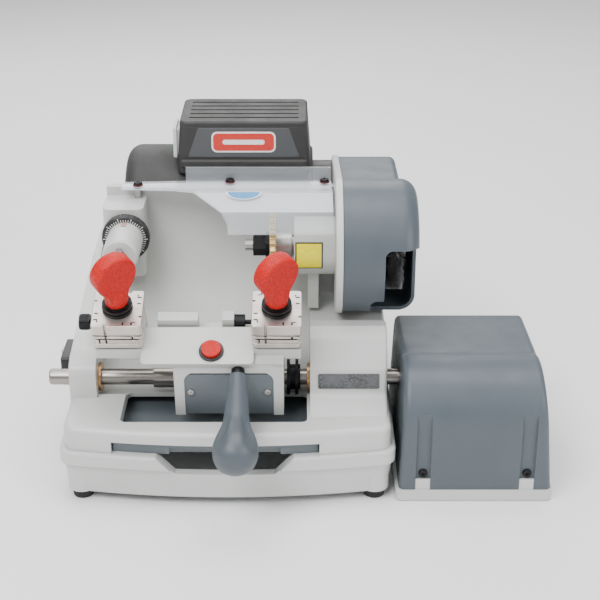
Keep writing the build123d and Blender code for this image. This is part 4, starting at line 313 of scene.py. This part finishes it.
def mottled_film():
    """Printed film with a dark mottled pattern under a gloss surface."""
    s = Shader("badge_film", 0.22)
    body = s.ramp(
        s.cells(700),
        [(0.10, (0.13, 0.14, 0.15)), (0.38, (0.05, 0.052, 0.058)), (0.62, (0.018, 0.018, 0.02))],
    )
    patches = s.ramp(s.noise(60, 3), [(0.4, (0, 0, 0)), (0.7, (1, 1, 1))])
    s.principled.inputs["Coat Weight"].default_value = 0.5
    s.bump(s.noise(900, 3), 0.1, 0.0002)
    return s.done(s.blend(patches, body, (0.07, 0.075, 0.085)))


def wire():
    """Bristle wire, oiled and dark, with lighter patches at random."""
    s = Shader("brush_wire", 0.38, 1.0)
    body = s.ramp(
        s.noise(700, 5),
        [(0.35, (0.10, 0.10, 0.10)), (0.52, (0.30, 0.30, 0.30)), (0.70, (0.70, 0.70, 0.70))],
    )
    s.bump(s.noise(2500, 4), 0.4, 0.0002)
    return s.done(body)


def printed(name, colour, roughness=0.35):
    """Ink or film of one colour, with uneven print and a slight sheen."""
    s = Shader(name, roughness)
    body = s.ramp(s.noise(420, 4), [(0.3, shade(colour, 0.88)), (0.7, shade(colour, 1.06))])
    s.bump(s.noise(1200, 3), 0.08, 0.0002)
    s.rough(s.noise(200, 3), roughness - 0.05, roughness + 0.08)
    return s.done(body)


def lens(name, colour):
    """Coloured lens over a lamp."""
    s = Shader(name, 0.12)
    body = s.ramp(s.cells(420), [(0.2, shade(colour, 1.5)), (0.7, shade(colour, 0.6))])
    s.principled.inputs["Coat Weight"].default_value = 0.8
    s.bump(s.cells(900), 0.2, 0.0003)
    return s.done(body)


M.update({
    "red_plastic": red_speckled(),
    "clear_sheet": clear_sheet(),
    "badge_film": mottled_film(),
    "brush_wire": wire(),
    "print_white": printed("print_white", (0.80, 0.80, 0.78)),
    "print_red": printed("print_red", (0.58, 0.030, 0.022)),
    "print_yellow": printed("print_yellow", (0.98, 0.84, 0.002)),
    "print_blue": printed("print_blue", (0.06, 0.26, 0.55)),
    "print_black": printed("print_black", (0.02, 0.02, 0.02)),
    "panel_grey": plastic("panel_grey", (0.065, 0.068, 0.072), 0.38, 0.10, 1800),
    "red_lens": lens("red_lens", (0.5, 0.012, 0.008)),
    "dark_red_rubber": plastic("dark_red_rubber", (0.10, 0.010, 0.010), 0.6, 0.2, 1600),
})

for part in frame["record"]["subparts"]:
    node = NODES[part["node"]]
    node.data.materials.clear()
    node.data.materials.append(M[part["material_slot"]])
NODES["plate_screws"].data.materials[0] = M["steel"]

# ------------------------------------------------------------------ mesh tools


class Place:
    """A local frame on the object: side, depth and up, with its lengths in millimetres."""

    def __init__(self, origin, side, up):
        self.origin = Vector(origin)
        self.up = Vector(up).normalized()
        self.side = (Vector(side) - self.up * Vector(side).dot(self.up)).normalized()
        self.depth = self.up.cross(self.side)

    def at(self, x, y, z):
        return self.origin + (self.side * x + self.depth * y + self.up * z) * MM


def span(node, direction):
    """How far a CAD node reaches along a direction, in metres."""
    reach = [vertex.co.dot(direction) for vertex in NODES[node].data.vertices]
    return min(reach), max(reach)


def seat_of(node, side, up):
    """Local frame on the middle of a node's base, with up as its axis."""
    place = Place((0, 0, 0), side, up)
    middle = [sum(span(node, axis)) / 2 for axis in (place.side, place.depth)]
    base = span(node, place.up)[0]
    place.origin = place.side * middle[0] + place.depth * middle[1] + place.up * base
    return place


def piece(name, vertices, faces, material, body, slot, smooth=30.0, bevel=0.0):
    """Makes a mesh piece that rides on a body."""
    mesh = bpy.data.meshes.new(name)
    mesh.from_pydata([tuple(vertex) for vertex in vertices], [], faces)
    mesh.materials.append(M[material])
    made = bpy.data.objects.new(name, mesh)
    bpy.context.scene.collection.objects.link(made)
    shape = bmesh.new()
    shape.from_mesh(mesh)
    bmesh.ops.recalc_face_normals(shape, faces=shape.faces)
    shape.to_mesh(mesh)
    shape.free()
    mesh.shade_smooth()
    mesh.set_sharp_from_angle(angle=math.radians(smooth))
    if bevel:
        rounding = made.modifiers.new("rounding", "BEVEL")
        rounding.width = bevel * MM
        rounding.segments = 3
        rounding.limit_method = "ANGLE"
        rounding.angle_limit = math.radians(35)
    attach(made, body)
    return made


def loft(rings, capped=True):
    """Vertices and faces of a skin over closed rings that all have as many points."""
    count = len(rings[0])
    vertices = [point for ring in rings for point in ring]
    faces = []
    for row in range(len(rings) - 1):
        for k in range(count):
            after = (k + 1) % count
            faces.append((
                row * count + k, row * count + after,
                (row + 1) * count + after, (row + 1) * count + k,
            ))
    if capped:
        faces.append(tuple(range(count - 1, -1, -1)))
        faces.append(tuple((len(rings) - 1) * count + k for k in range(count)))
    return vertices, faces


def turned(place, profile, count=64, wobble=None):
    """Turned solid: the profile is a list of (radius, height) in millimetres."""
    rings = []
    for radius, height in profile:
        ring = []
        for k in range(count):
            angle = 2 * math.pi * k / count
            r = radius if wobble is None else wobble(radius, height, angle)
            ring.append(place.at(r * math.cos(angle), r * math.sin(angle), height))
        rings.append(ring)
    return loft(rings)


def washer(place, inner, outer, low, high, count=48):
    """Ring with a square section, in millimetres."""
    loops = [(outer, low), (outer, high), (inner, high), (inner, low)]
    vertices = [
        place.at(r * math.cos(2 * math.pi * k / count), r * math.sin(2 * math.pi * k / count), z)
        for r, z in loops for k in range(count)
    ]
    faces = []
    for row in range(4):
        for k in range(count):
            after, below = (k + 1) % count, (row + 1) % 4
            faces.append((
                row * count + k, row * count + after, below * count + after, below * count + k
            ))
    return vertices, faces


def rounded(width, height, radius, count=6):
    """Outline of a rounded rectangle, in millimetres."""
    points = []
    corners = ((1, 1, 0), (-1, 1, 90), (-1, -1, 180), (1, -1, 270))
    for sx, sy, start in corners:
        for k in range(count + 1):
            angle = math.radians(start + 90 * k / count)
            points.append((
                sx * (width / 2 - radius) + radius * math.cos(angle),
                sy * (height / 2 - radius) + radius * math.sin(angle),
            ))
    return points


def slab(place, outline, low, high):
    """Plate with an outline across the place's axis, in millimetres."""
    return loft([[place.at(x, y, z) for x, y in outline] for z in (low, high)])


def merged(*parts):
    """Several vertex and face lists as one."""
    vertices, faces = [], []
    for part_vertices, part_faces in parts:
        start = len(vertices)
        vertices += part_vertices
        faces += [tuple(start + index for index in face) for face in part_faces]
    return vertices, faces


# ------------------------------------------------------------------ clamp knobs

LEAN_UP = Vector(JOINTS["left_jaws_turn"]["axis"]).normalized()
KNOB_TURN = math.radians(36)  # the paddle's face looks to the right of the front
DISC_RADIUS = 18.3
DISC_MIDDLE = 31.4            # above the knob's seat
NECK_TOP = 12.0               # below it the rounding doesn't shrink the outline's height
KNOB_NECK = (
    (8.6, 5.0), (8.6, 8.0), (9.1, 10.5), (10.4, 13.2), (12.4, 16.2), (14.5, 19.4), (16.3, 23.0)
)
# Each section's place across the thickness, and how far the rounding pulls it in.
KNOB_SECTIONS = (
    (-6.9, 4.2), (-6.9, 2.2), (-6.6, 1.2), (-5.8, 0.4), (-4.6, 0.0),
    (4.6, 0.0), (5.8, 0.4), (6.6, 1.2), (6.9, 2.2), (6.9, 4.2),
)
KNOB_SKIRT = (
    (8.9, 0.1), (9.4, 0.7), (9.4, 6.0), (9.1, 9.5), (8.2, 12.5), (6.8, 15.0), (4.5, 16.6), (1.0, 17.0)
)
paddle_outline = list(KNOB_NECK)
for k in range(25):
    angle = math.radians(-18 + 9 * k)
    paddle_outline.append((DISC_RADIUS * math.cos(angle), DISC_MIDDLE + DISC_RADIUS * math.sin(angle)))
paddle_outline += [(-x, z) for x, z in reversed(KNOB_NECK)]

for side in ("left", "right"):
    node = side + "_clamp_knob"
    knob_place = seat_of(node, X, LEAN_UP)
    across = X * math.cos(KNOB_TURN) + LEAN_UP.cross(X) * math.sin(KNOB_TURN)
    knob_place = Place(knob_place.at(0, 0, 0), across, LEAN_UP)
    rings = []
    for depth, inset in KNOB_SECTIONS:
        shrink = 1 - inset / DISC_RADIUS
        ring = []
        for x, z in paddle_outline:
            height = DISC_MIDDLE + (z - DISC_MIDDLE) * shrink if z > NECK_TOP else z
            ring.append(knob_place.at(x * shrink, depth, height))
        rings.append(ring)
    knob = piece(
        node + "_paddle", *merged(loft(rings), turned(knob_place, KNOB_SKIRT, 56)),
        "red_plastic", side + "_knob", "red_plastic", smooth=42,
    )
    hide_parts(node)

# ------------------------------------------------------------------ clamp jaws


def quarter(turns, x, y):
    """A point turned by some quarter turns about the jaw's axis."""
    c, s = round(math.cos(turns * math.pi / 2)), round(math.sin(turns * math.pi / 2))
    return (x * c - y * s, x * s + y * c)


def notched(size, corner, slots):
    """Square outline with round corners and narrow slots cut into its sides.

    Each slot is the side's number, its place along the side, its width and its depth.
    """
    half = size / 2
    points = []
    for side in range(4):
        points.append(quarter(side, -half + corner, -half))
        for number, along, width, depth in slots:
            if number == side:
                points += [
                    quarter(side, along + x * width / 2, y - half)
                    for x, y in ((-1, 0), (-1, depth), (1, depth), (1, 0))
                ]
        points.append(quarter(side, half - corner, -half))
        for k in range(1, 5):
            angle = math.radians(-90 + 90 * k / 5)
            x = half - corner + corner * math.cos(angle)
            points.append(quarter(side, x, -half + corner + corner * math.sin(angle)))
    return points


def stack(place, layers):
    """Several slabs one on another: an outline with its lowest and highest level each."""
    return merged(*[slab(place, outline, low, high) for outline, low, high in layers])


def all_sides(*cuts):
    """The same slots, each a place, a width and a depth, on all four sides."""
    return [(k, *slot) for k in range(4) for slot in sorted(cuts)]


GROOVE_AT = -9.0    # the long groove, from the middle of each side
UPPER_GROOVE = (GROOVE_AT, 1.7, 2.6)
LOWER_GROOVES = ((-14.5, 1.3, 2.6), (GROOVE_AT, 1.7, 3.6))
POCKETS = ((5.5, 3.4, 3.6), (12.5, 3.4, 3.6), (-15.5, 6.0, 2.6))  # along, inward, length
JAW_NECK = 10.0    # top of the lower jaw's neck, above its seat
NECK_PROFILE = (
    (7.8, 0.1), (7.8, JAW_NECK - 2.6), (16.2, JAW_NECK - 2.4), (16.2, JAW_NECK + 0.2)
)

for side in ("left", "right"):
    upper = seat_of(side + "_upper_jaw", X, LEAN_UP)
    jaw_low, jaw_high = span(side + "_upper_jaw", LEAN_UP)
    tall = (jaw_high - jaw_low) / MM
    jaw_left, jaw_right = span(side + "_upper_jaw", X)
    wide = (jaw_right - jaw_left) / MM
    jaw = piece(
        side + "_upper_jaw_ground",
        *stack(upper, [
            (notched(wide, 3.2, all_sides((GROOVE_AT, 1.7, 3.4), (12.5, 1.4, 2.0))), 0.0, 2.6),
            (notched(wide - 2.6, 6.5, all_sides(UPPER_GROOVE)), 2.6, 4.2),
            (notched(wide - 0.2, 2.4, all_sides(UPPER_GROOVE)), 4.2, tall - 0.1),
        ]),
        "nickel", side + "_jaw_top", "nickel", smooth=30, bevel=0.45,
    )
    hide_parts(side + "_upper_jaw")
    # Painted shade: flat black slabs just proud of the jaw's top stand in for the dark of the pockets, which are
    # not cut.
    pocket_shade = []
    for k in range(4):
        for along, inward, long in POCKETS:
            outline = [
                quarter(k, along + u, -wide / 2 + inward + v) for u, v in rounded(long * 0.42, long, 0.7)
            ]
            pocket_shade.append(slab(upper, outline, tall - 0.4, tall - 0.04))
    piece(side + "_jaw_pocket_painted_shade", *merged(*pocket_shade), "print_black", side + "_jaw_top", "black_steel")

    lower = seat_of(side + "_lower_jaw", X, LEAN_UP)
    jaw = piece(
        side + "_lower_jaw_ground",
        *merged(
            turned(lower, NECK_PROFILE, 56),
            stack(lower, [
                (notched(wide, 4.0, []), JAW_NECK, JAW_NECK + 4.6),
                (
                    notched(wide - 1.2, 4.0, all_sides(*LOWER_GROOVES)),
                    JAW_NECK + 4.6, JAW_NECK + 6.4,
                ),
                (
                    notched(wide - 0.2, 5.5, all_sides(*LOWER_GROOVES)),
                    JAW_NECK + 6.4, JAW_NECK + 9.0,
                ),
            ]),
        ),
        "nickel", side + "_jaws", "nickel", smooth=30, bevel=0.4,
    )
    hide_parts(side + "_lower_jaw")

# ------------------------------------------------------------------ operating handle

DROP = math.radians(28.5)  # how far the handle points below level
GRIP_DOWN = Vector((0, -math.cos(DROP), -math.sin(DROP)))
grip_place = seat_of("handle_grip", X, GRIP_DOWN)
GRIP_PROFILE = (
    (6.2, 0.0), (7.0, 0.6), (7.5, 3.0), (8.1, 10.0), (9.1, 24.0), (10.2, 38.0), (11.0, 45.0),
    (12.3, 50.0), (14.2, 55.0), (16.4, 60.5), (17.9, 65.5), (18.45, 70.0), (18.5, 73.0), (17.9, 77.5),
    (16.2, 82.0), (13.2, 86.0), (9.0, 88.8), (4.5, 90.1), (1.0, 90.45),
)


def scooped(radius, height, angle):
    """Radius of the grip with four scoops sunk into its flare."""
    run = (height - 43) / 33
    if not 0 < run < 1:
        return radius
    depth = 3.4 * math.sin(math.pi * run) ** 0.8
    near = min(abs((math.degrees(angle) - middle + 180) % 360 - 180) for middle in (45, 135, 225, 315))
    return radius - depth * math.exp(-((near / 19) ** 4))


def finer(profile, count):
    """The same profile with points added along it, so that relief has mesh to bend."""
    points = []
    for (r0, h0), (r1, h1) in zip(profile, profile[1:]):
        points += [(r0 + (r1 - r0) * k / count, h0 + (h1 - h0) * k / count) for k in range(count)]
    return points + [profile[-1]]


grip = piece(
    "handle_grip_moulded", *turned(grip_place, finer(GRIP_PROFILE, 3), 96, scooped),
    "blue_grey", "carriage", "blue_grey", smooth=40,
)
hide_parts("handle_grip")
smoothing = grip.modifiers.new("smoothing", "SMOOTH")
smoothing.factor = 0.5
smoothing.iterations = 3

# ------------------------------------------------------------------ tracer dial

dial_axis = Vector(JOINTS["dial_turn"]["axis"])
dial = seat_of("dial_ring", X, dial_axis)
dial_low, dial_high = span("dial_ring", dial_axis)
DIAL_R = (span("dial_ring", X)[1] - span("dial_ring", X)[0]) / 2 / MM
DIAL_W = (dial_high - dial_low) / MM
BARREL_R = (span("tracer_barrel", X)[1] - span("tracer_barrel", X)[0]) / 2 / MM
dial_inner = BARREL_R + 0.3


def knurled(place, inner, outer, low, high, teeth, depth):
    """Ring with a knurled rim and a plain chamfer at each end."""
    count = teeth * 4
    loops = [
        (inner, low, 0), (outer - 1.4, low, 0),
        (outer - depth, low + 1.0, 0), (outer - depth, low + 1.2, 1),
        (outer - depth, high - 1.2, 1), (outer - depth, high - 1.0, 0),
        (outer - 1.4, high, 0), (inner, high, 0),
    ]
    vertices, faces = [], []
    for radius, height, cut in loops:
        for k in range(count):
            r = radius + cut * depth * (1 if k % 4 in (1, 2) else 0)
            angle = 2 * math.pi * k / count
            vertices.append(place.at(r * math.cos(angle), r * math.sin(angle), height))
    for row in range(len(loops)):
        below = (row + 1) % len(loops)
        for k in range(count):
            after = (k + 1) % count
            faces.append((
                row * count + k, row * count + after, below * count + after, below * count + k
            ))
    return vertices, faces


ring = piece(
    "dial_ring_knurled", *knurled(dial, dial_inner, DIAL_R, 0.35, DIAL_W, 60, 0.45),
    "black_plastic", "dial", "black_plastic", smooth=28,
)
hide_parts("dial_ring")
TICKS = 50
TICK_HALF_WIDTH = 0.26
ticks = []
for k in range(TICKS):
    angle = 2 * math.pi * k / TICKS
    near = dial_inner + 0.1
    far = near + (3.7 if k % 5 == 0 else 2.2)
    corners = [
        (r * math.cos(angle) - half * math.sin(angle), r * math.sin(angle) + half * math.cos(angle))
        for r, half in (
            (near, -TICK_HALF_WIDTH), (far, -TICK_HALF_WIDTH),
            (far, TICK_HALF_WIDTH), (near, TICK_HALF_WIDTH),
        )
    ]
    ticks.append(slab(dial, corners, 0.20, 0.42))
piece("dial_ticks", *merged(*ticks), "print_white", "dial", "pale_plastic")


def skin_patch(axis_point, towards, radius, depth, half_angle, steps, front, back):
    """Skin-deep patch on one side of a cylinder that lies along Y, in millimetres."""
    angles = [math.radians(half_angle * (2 * k / steps - 1)) for k in range(steps + 1)]
    loop = [
        axis_point + (X * math.sin(a) + towards * math.cos(a)) * r * MM
        for r, sweep in ((radius, angles), (radius - depth, angles[::-1])) for a in sweep
    ]
    return loft([[point + Y * y * MM for point in loop] for y in (front, back)])


piece(
    "dial_mark", *skin_patch(dial.origin, -Z, DIAL_R + 0.05, 0.65, 5, 4, 0.9, 4.0),
    "print_blue", "dial", "black_plastic",
)

barrel_middle = Vector((sum(span("tracer_barrel", X)) / 2, 0, JOINTS["dial_turn"]["pos_m"][2]))
for name, behind, colour in (("red", 2.6, "print_red"), ("black", 7.4, "print_black")):
    middle = dial_low / MM - behind
    piece(
        "barrel_mark_" + name,
        *skin_patch(barrel_middle, Z, BARREL_R + 0.06, 0.36, 9, 8, middle - 1.1, middle + 1.1),
        colour, "machine", "pale_plastic",
    )

# ------------------------------------------------------------------ wire brush

spin_axis = Vector(JOINTS["spindle_spin"]["axis"])
brush = seat_of("brush_wheel", Y, spin_axis)
BRUSH_R = (span("brush_wheel", Y)[1] - span("brush_wheel", Y)[0]) / 2 / MM
BRUSH_W = (span("brush_wheel", spin_axis)[1] - span("brush_wheel", spin_axis)[0]) / MM
ROOT_RADIUS, ROOT_HALF_WIDTH, TIP_HALF_WIDTH = 17.5, 0.34, 0.24
chance = random.Random(4)
bristles = []
for k in range(2600):
    angle = chance.uniform(0, 2 * math.pi)
    root_x = chance.uniform(BRUSH_W * 0.28, BRUSH_W * 0.72)
    tip_x = BRUSH_W * 0.5 + (root_x - BRUSH_W * 0.5) * 2.0 + chance.uniform(-0.6, 0.6)
    tip_x = min(BRUSH_W - 0.2, max(0.2, tip_x))
    tip_r = BRUSH_R - 0.4 - chance.uniform(0, 2.2)
    turn = angle + chance.uniform(-0.07, 0.07)
    ends = []
    for r, middle, x, half in (
        (ROOT_RADIUS, angle, root_x, ROOT_HALF_WIDTH), (tip_r, turn, tip_x, TIP_HALF_WIDTH)
    ):
        corners = ((middle + half / r, x), (middle - half / r, x), (middle, x + half))
        ends.append([brush.at(r * math.cos(a), r * math.sin(a), along) for a, along in corners])
    bristles.append(loft(ends))
bristle_piece = piece(
    "brush_bristles", *merged(*bristles), "brush_wire", "spindle", "brush_wire", smooth=60
)
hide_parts("brush_wheel")
piece(
    "brush_core", *turned(brush, [
        (9.0, BRUSH_W * 0.20), (19.0, BRUSH_W * 0.20), (21.5, BRUSH_W * 0.26), (21.5, BRUSH_W * 0.74),
        (19.0, BRUSH_W * 0.80), (9.0, BRUSH_W * 0.80),
    ], 64), "steel", "spindle", "brush_wire",
)

# ------------------------------------------------------------------ shield fasteners and stickers

SHEET_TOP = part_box("shield_standoffs")[1].z / MM + 2.0    # the sheet is 2 mm thick
SHIELD_SCREWS = ((-142.0, 61.4), (-60.0, 70.0), (25.0, 70.0))
for number, (screw_x, screw_y) in enumerate(SHIELD_SCREWS):
    post = Place((screw_x * MM, screw_y * MM, SHEET_TOP * MM), X, Z)
    piece(
        "shield_washer_%d" % number, *washer(post, 2.15, 4.7, 0.04, 0.95),
        "dark_red_rubber", "machine", "rubber", bevel=0.2,
    )


def touch(node, x, y):
    """Where a line straight down first meets a CAD node, and the surface's normal there."""
    above, down = Vector((x * MM, y * MM, 1.0)), Vector((0, 0, -1))
    return NODES[node].ray_cast(above, down)[1:3]


STICKER_X, STICKER_Y = -45.0, 4.0
STICKER_RISE = 6.2    # its straight edge lies this much further back, near the shield's fold
touched, facing = touch("safety_shield", STICKER_X, STICKER_Y)
rise = facing.cross(X)
rise = rise if rise.y > 0 else -rise
sticker = Place(touched + rise * (STICKER_RISE / rise.y) * MM, X, facing)
backwards = 1 if sticker.depth.y > 0 else -1


def half_disc(radius, drop):
    """Half of a flattened round sticker, with its straight edge at the back."""
    angles = [math.pi * k / 32 for k in range(33)]
    return [
        (radius * math.cos(a), backwards * (-radius * math.sin(a) * 0.80 - drop)) for a in angles
    ]


for name, radius, drop, low, high, colour in (
    ("rim", 15.5, 0, 0.05, 0.20, "print_white"),
    ("face", 13.8, 0.4, 0.15, 0.30, "print_blue"),
):
    piece(
        "shield_sticker_" + name, *slab(sticker, half_disc(radius, drop), low, high),
        colour, "machine", "pale_plastic",
    )

# ------------------------------------------------------------------ label on the spindle tube

TUBE_R = 25.0
tube_axis = Vector((0, *JOINTS["spindle_spin"]["pos_m"][1:]))


def tube_label(name, x0, x1, low, high, colour, lift):
    """Film wrapped on the front of the spindle tube, between two angles below the level."""
    angles = [math.radians(low + (high - low) * k / 12) for k in range(13)]
    loop = [
        tube_axis - (Y * math.cos(a) + Z * math.sin(a)) * r * MM
        for r, sweep in ((TUBE_R + lift, angles), (TUBE_R - 0.2, angles[::-1])) for a in sweep
    ]
    piece(
        name, *loft([[point + X * x * MM for point in loop] for x in (x0, x1)]),
        colour, "machine", "pale_plastic",
    )


tube_label("tube_label_border", -1.0, 22.5, -28, 30, "print_black", 0.08)
tube_label("tube_label_face", 0.2, 21.3, -25, 27, "print_yellow", 0.14)

# ------------------------------------------------------------------ terminal box

box_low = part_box("terminal_box")[0]
lid_low, lid_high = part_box("louvred_lid")
box_slope = Vector((0, 3, 43)).normalized()
BOX_X = -48
front = Place((BOX_X * MM, box_low.y, box_low.z), X, X.cross(box_slope))


def keystone(bottom, top, low, high, radius=2.0):
    """Trapezium outline with rounded corners."""
    corners = [(bottom / 2, low), (top / 2, high), (-top / 2, high), (-bottom / 2, low)]
    points = []
    for k, (x, y) in enumerate(corners):
        before, after = Vector(corners[k - 1]), Vector(corners[(k + 1) % 4])
        here = Vector((x, y))
        start = here + (before - here).normalized() * radius
        end = here + (after - here).normalized() * radius
        for step in range(7):
            t = step / 6
            points.append(tuple(start * (1 - t) ** 2 + here * 2 * t * (1 - t) + end * t * t))
    return points


outward = 1 if front.up.dot(Y) < 0 else -1


def on_box(name, outline, low, high, colour, slot, bevel=0.0):
    """Plate on the sloping front of the terminal box."""
    levels = sorted((outward * low, outward * high))
    upright = 1 if front.depth.dot(Z) > 0 else -1
    outline = [(x, y * upright) for x, y in outline]
    piece("box_" + name, *slab(front, outline, *levels), colour, "machine", slot, bevel=bevel)


def raised(outline, height):
    return [(x, y + height) for x, y in outline]


BADGE_HEIGHT = 29.5
on_box("panel", keystone(101, 82, 15.5, 42.4), 0.05, 0.45, "panel_grey", "charcoal", bevel=0.15)
for name, size, low, high, colour, slot in (
    ("badge_border", (58, 19, 5), 0.40, 0.70, "print_white", "pale_plastic"),
    ("badge_face", (55, 16, 4), 0.65, 0.90, "print_red", "red_plastic"),
    ("badge_bar", (38, 4.4, 2), 0.85, 1.0, "print_white", "pale_plastic"),
):
    on_box(name, raised(rounded(*size), BADGE_HEIGHT), low, high, colour, slot)
on_box("ledge", raised(rounded(115, 8.0, 2.4), 9.6), -2.0, 3.4, "charcoal", "charcoal", bevel=2.0)

lamp_place = Place((-13 * MM, lid_high.y - 7 * MM, lid_high.z - 4.9 * MM), X, Z)
piece(
    "pilot_lamp", *turned(lamp_place, [
        (5.2, 0.0), (5.2, 3.0), (5.0, 3.9), (4.2, 4.4), (2.4, 4.75), (0.3, 4.85)
    ], 40), "red_lens", "machine", "red_plastic", smooth=40,
)
for number, clip_x in enumerate((lid_low.x / MM + 10.0, lid_high.x / MM - 10.0)):
    clip = Place((clip_x * MM, lid_low.y + 4.2 * MM, lid_high.z), X, Z)
    piece(
        "lid_clip_%d" % number, *slab(clip, rounded(8.0, 3.4, 1.2), -2.0, -0.05),
        "black_plastic", "machine", "black_plastic",
    )

# ------------------------------------------------------------------ clamp set screws

set_low, set_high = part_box("clamp_set_screws")
left_screw = Place(
    (set_low.x, (set_low.y + set_high.y) / 2, (set_low.z + set_high.z) / 2), Y, X
)
head_radius = (set_high.z - set_low.z) / 2 / MM
piece(
    "left_set_screw_grip", *knurled(left_screw, 3.2, head_radius + 0.35, 0.2, 8.8, 36, 0.5),
    "black_steel", "carriage", "black_steel", smooth=28,
)

# ------------------------------------------------------------------ floor and finish

floor_mesh = bpy.data.meshes.new("floor")
floor_mesh.from_pydata(
    [(-3, -3, -0.0005), (3, -3, -0.0005), (3, 3, -0.0005), (-3, 3, -0.0005)], [], [(0, 1, 2, 3)]
)
floor = bpy.data.objects.new("floor", floor_mesh)
bpy.context.scene.collection.objects.link(floor)
floor_shader = Shader("floor_paper", 0.8)
paper = floor_shader.ramp(floor_shader.noise(3), [(0.3, (0.86, 0.86, 0.86)), (0.7, (0.88, 0.88, 0.88))])
floor_mesh.materials.append(floor_shader.done(paper))
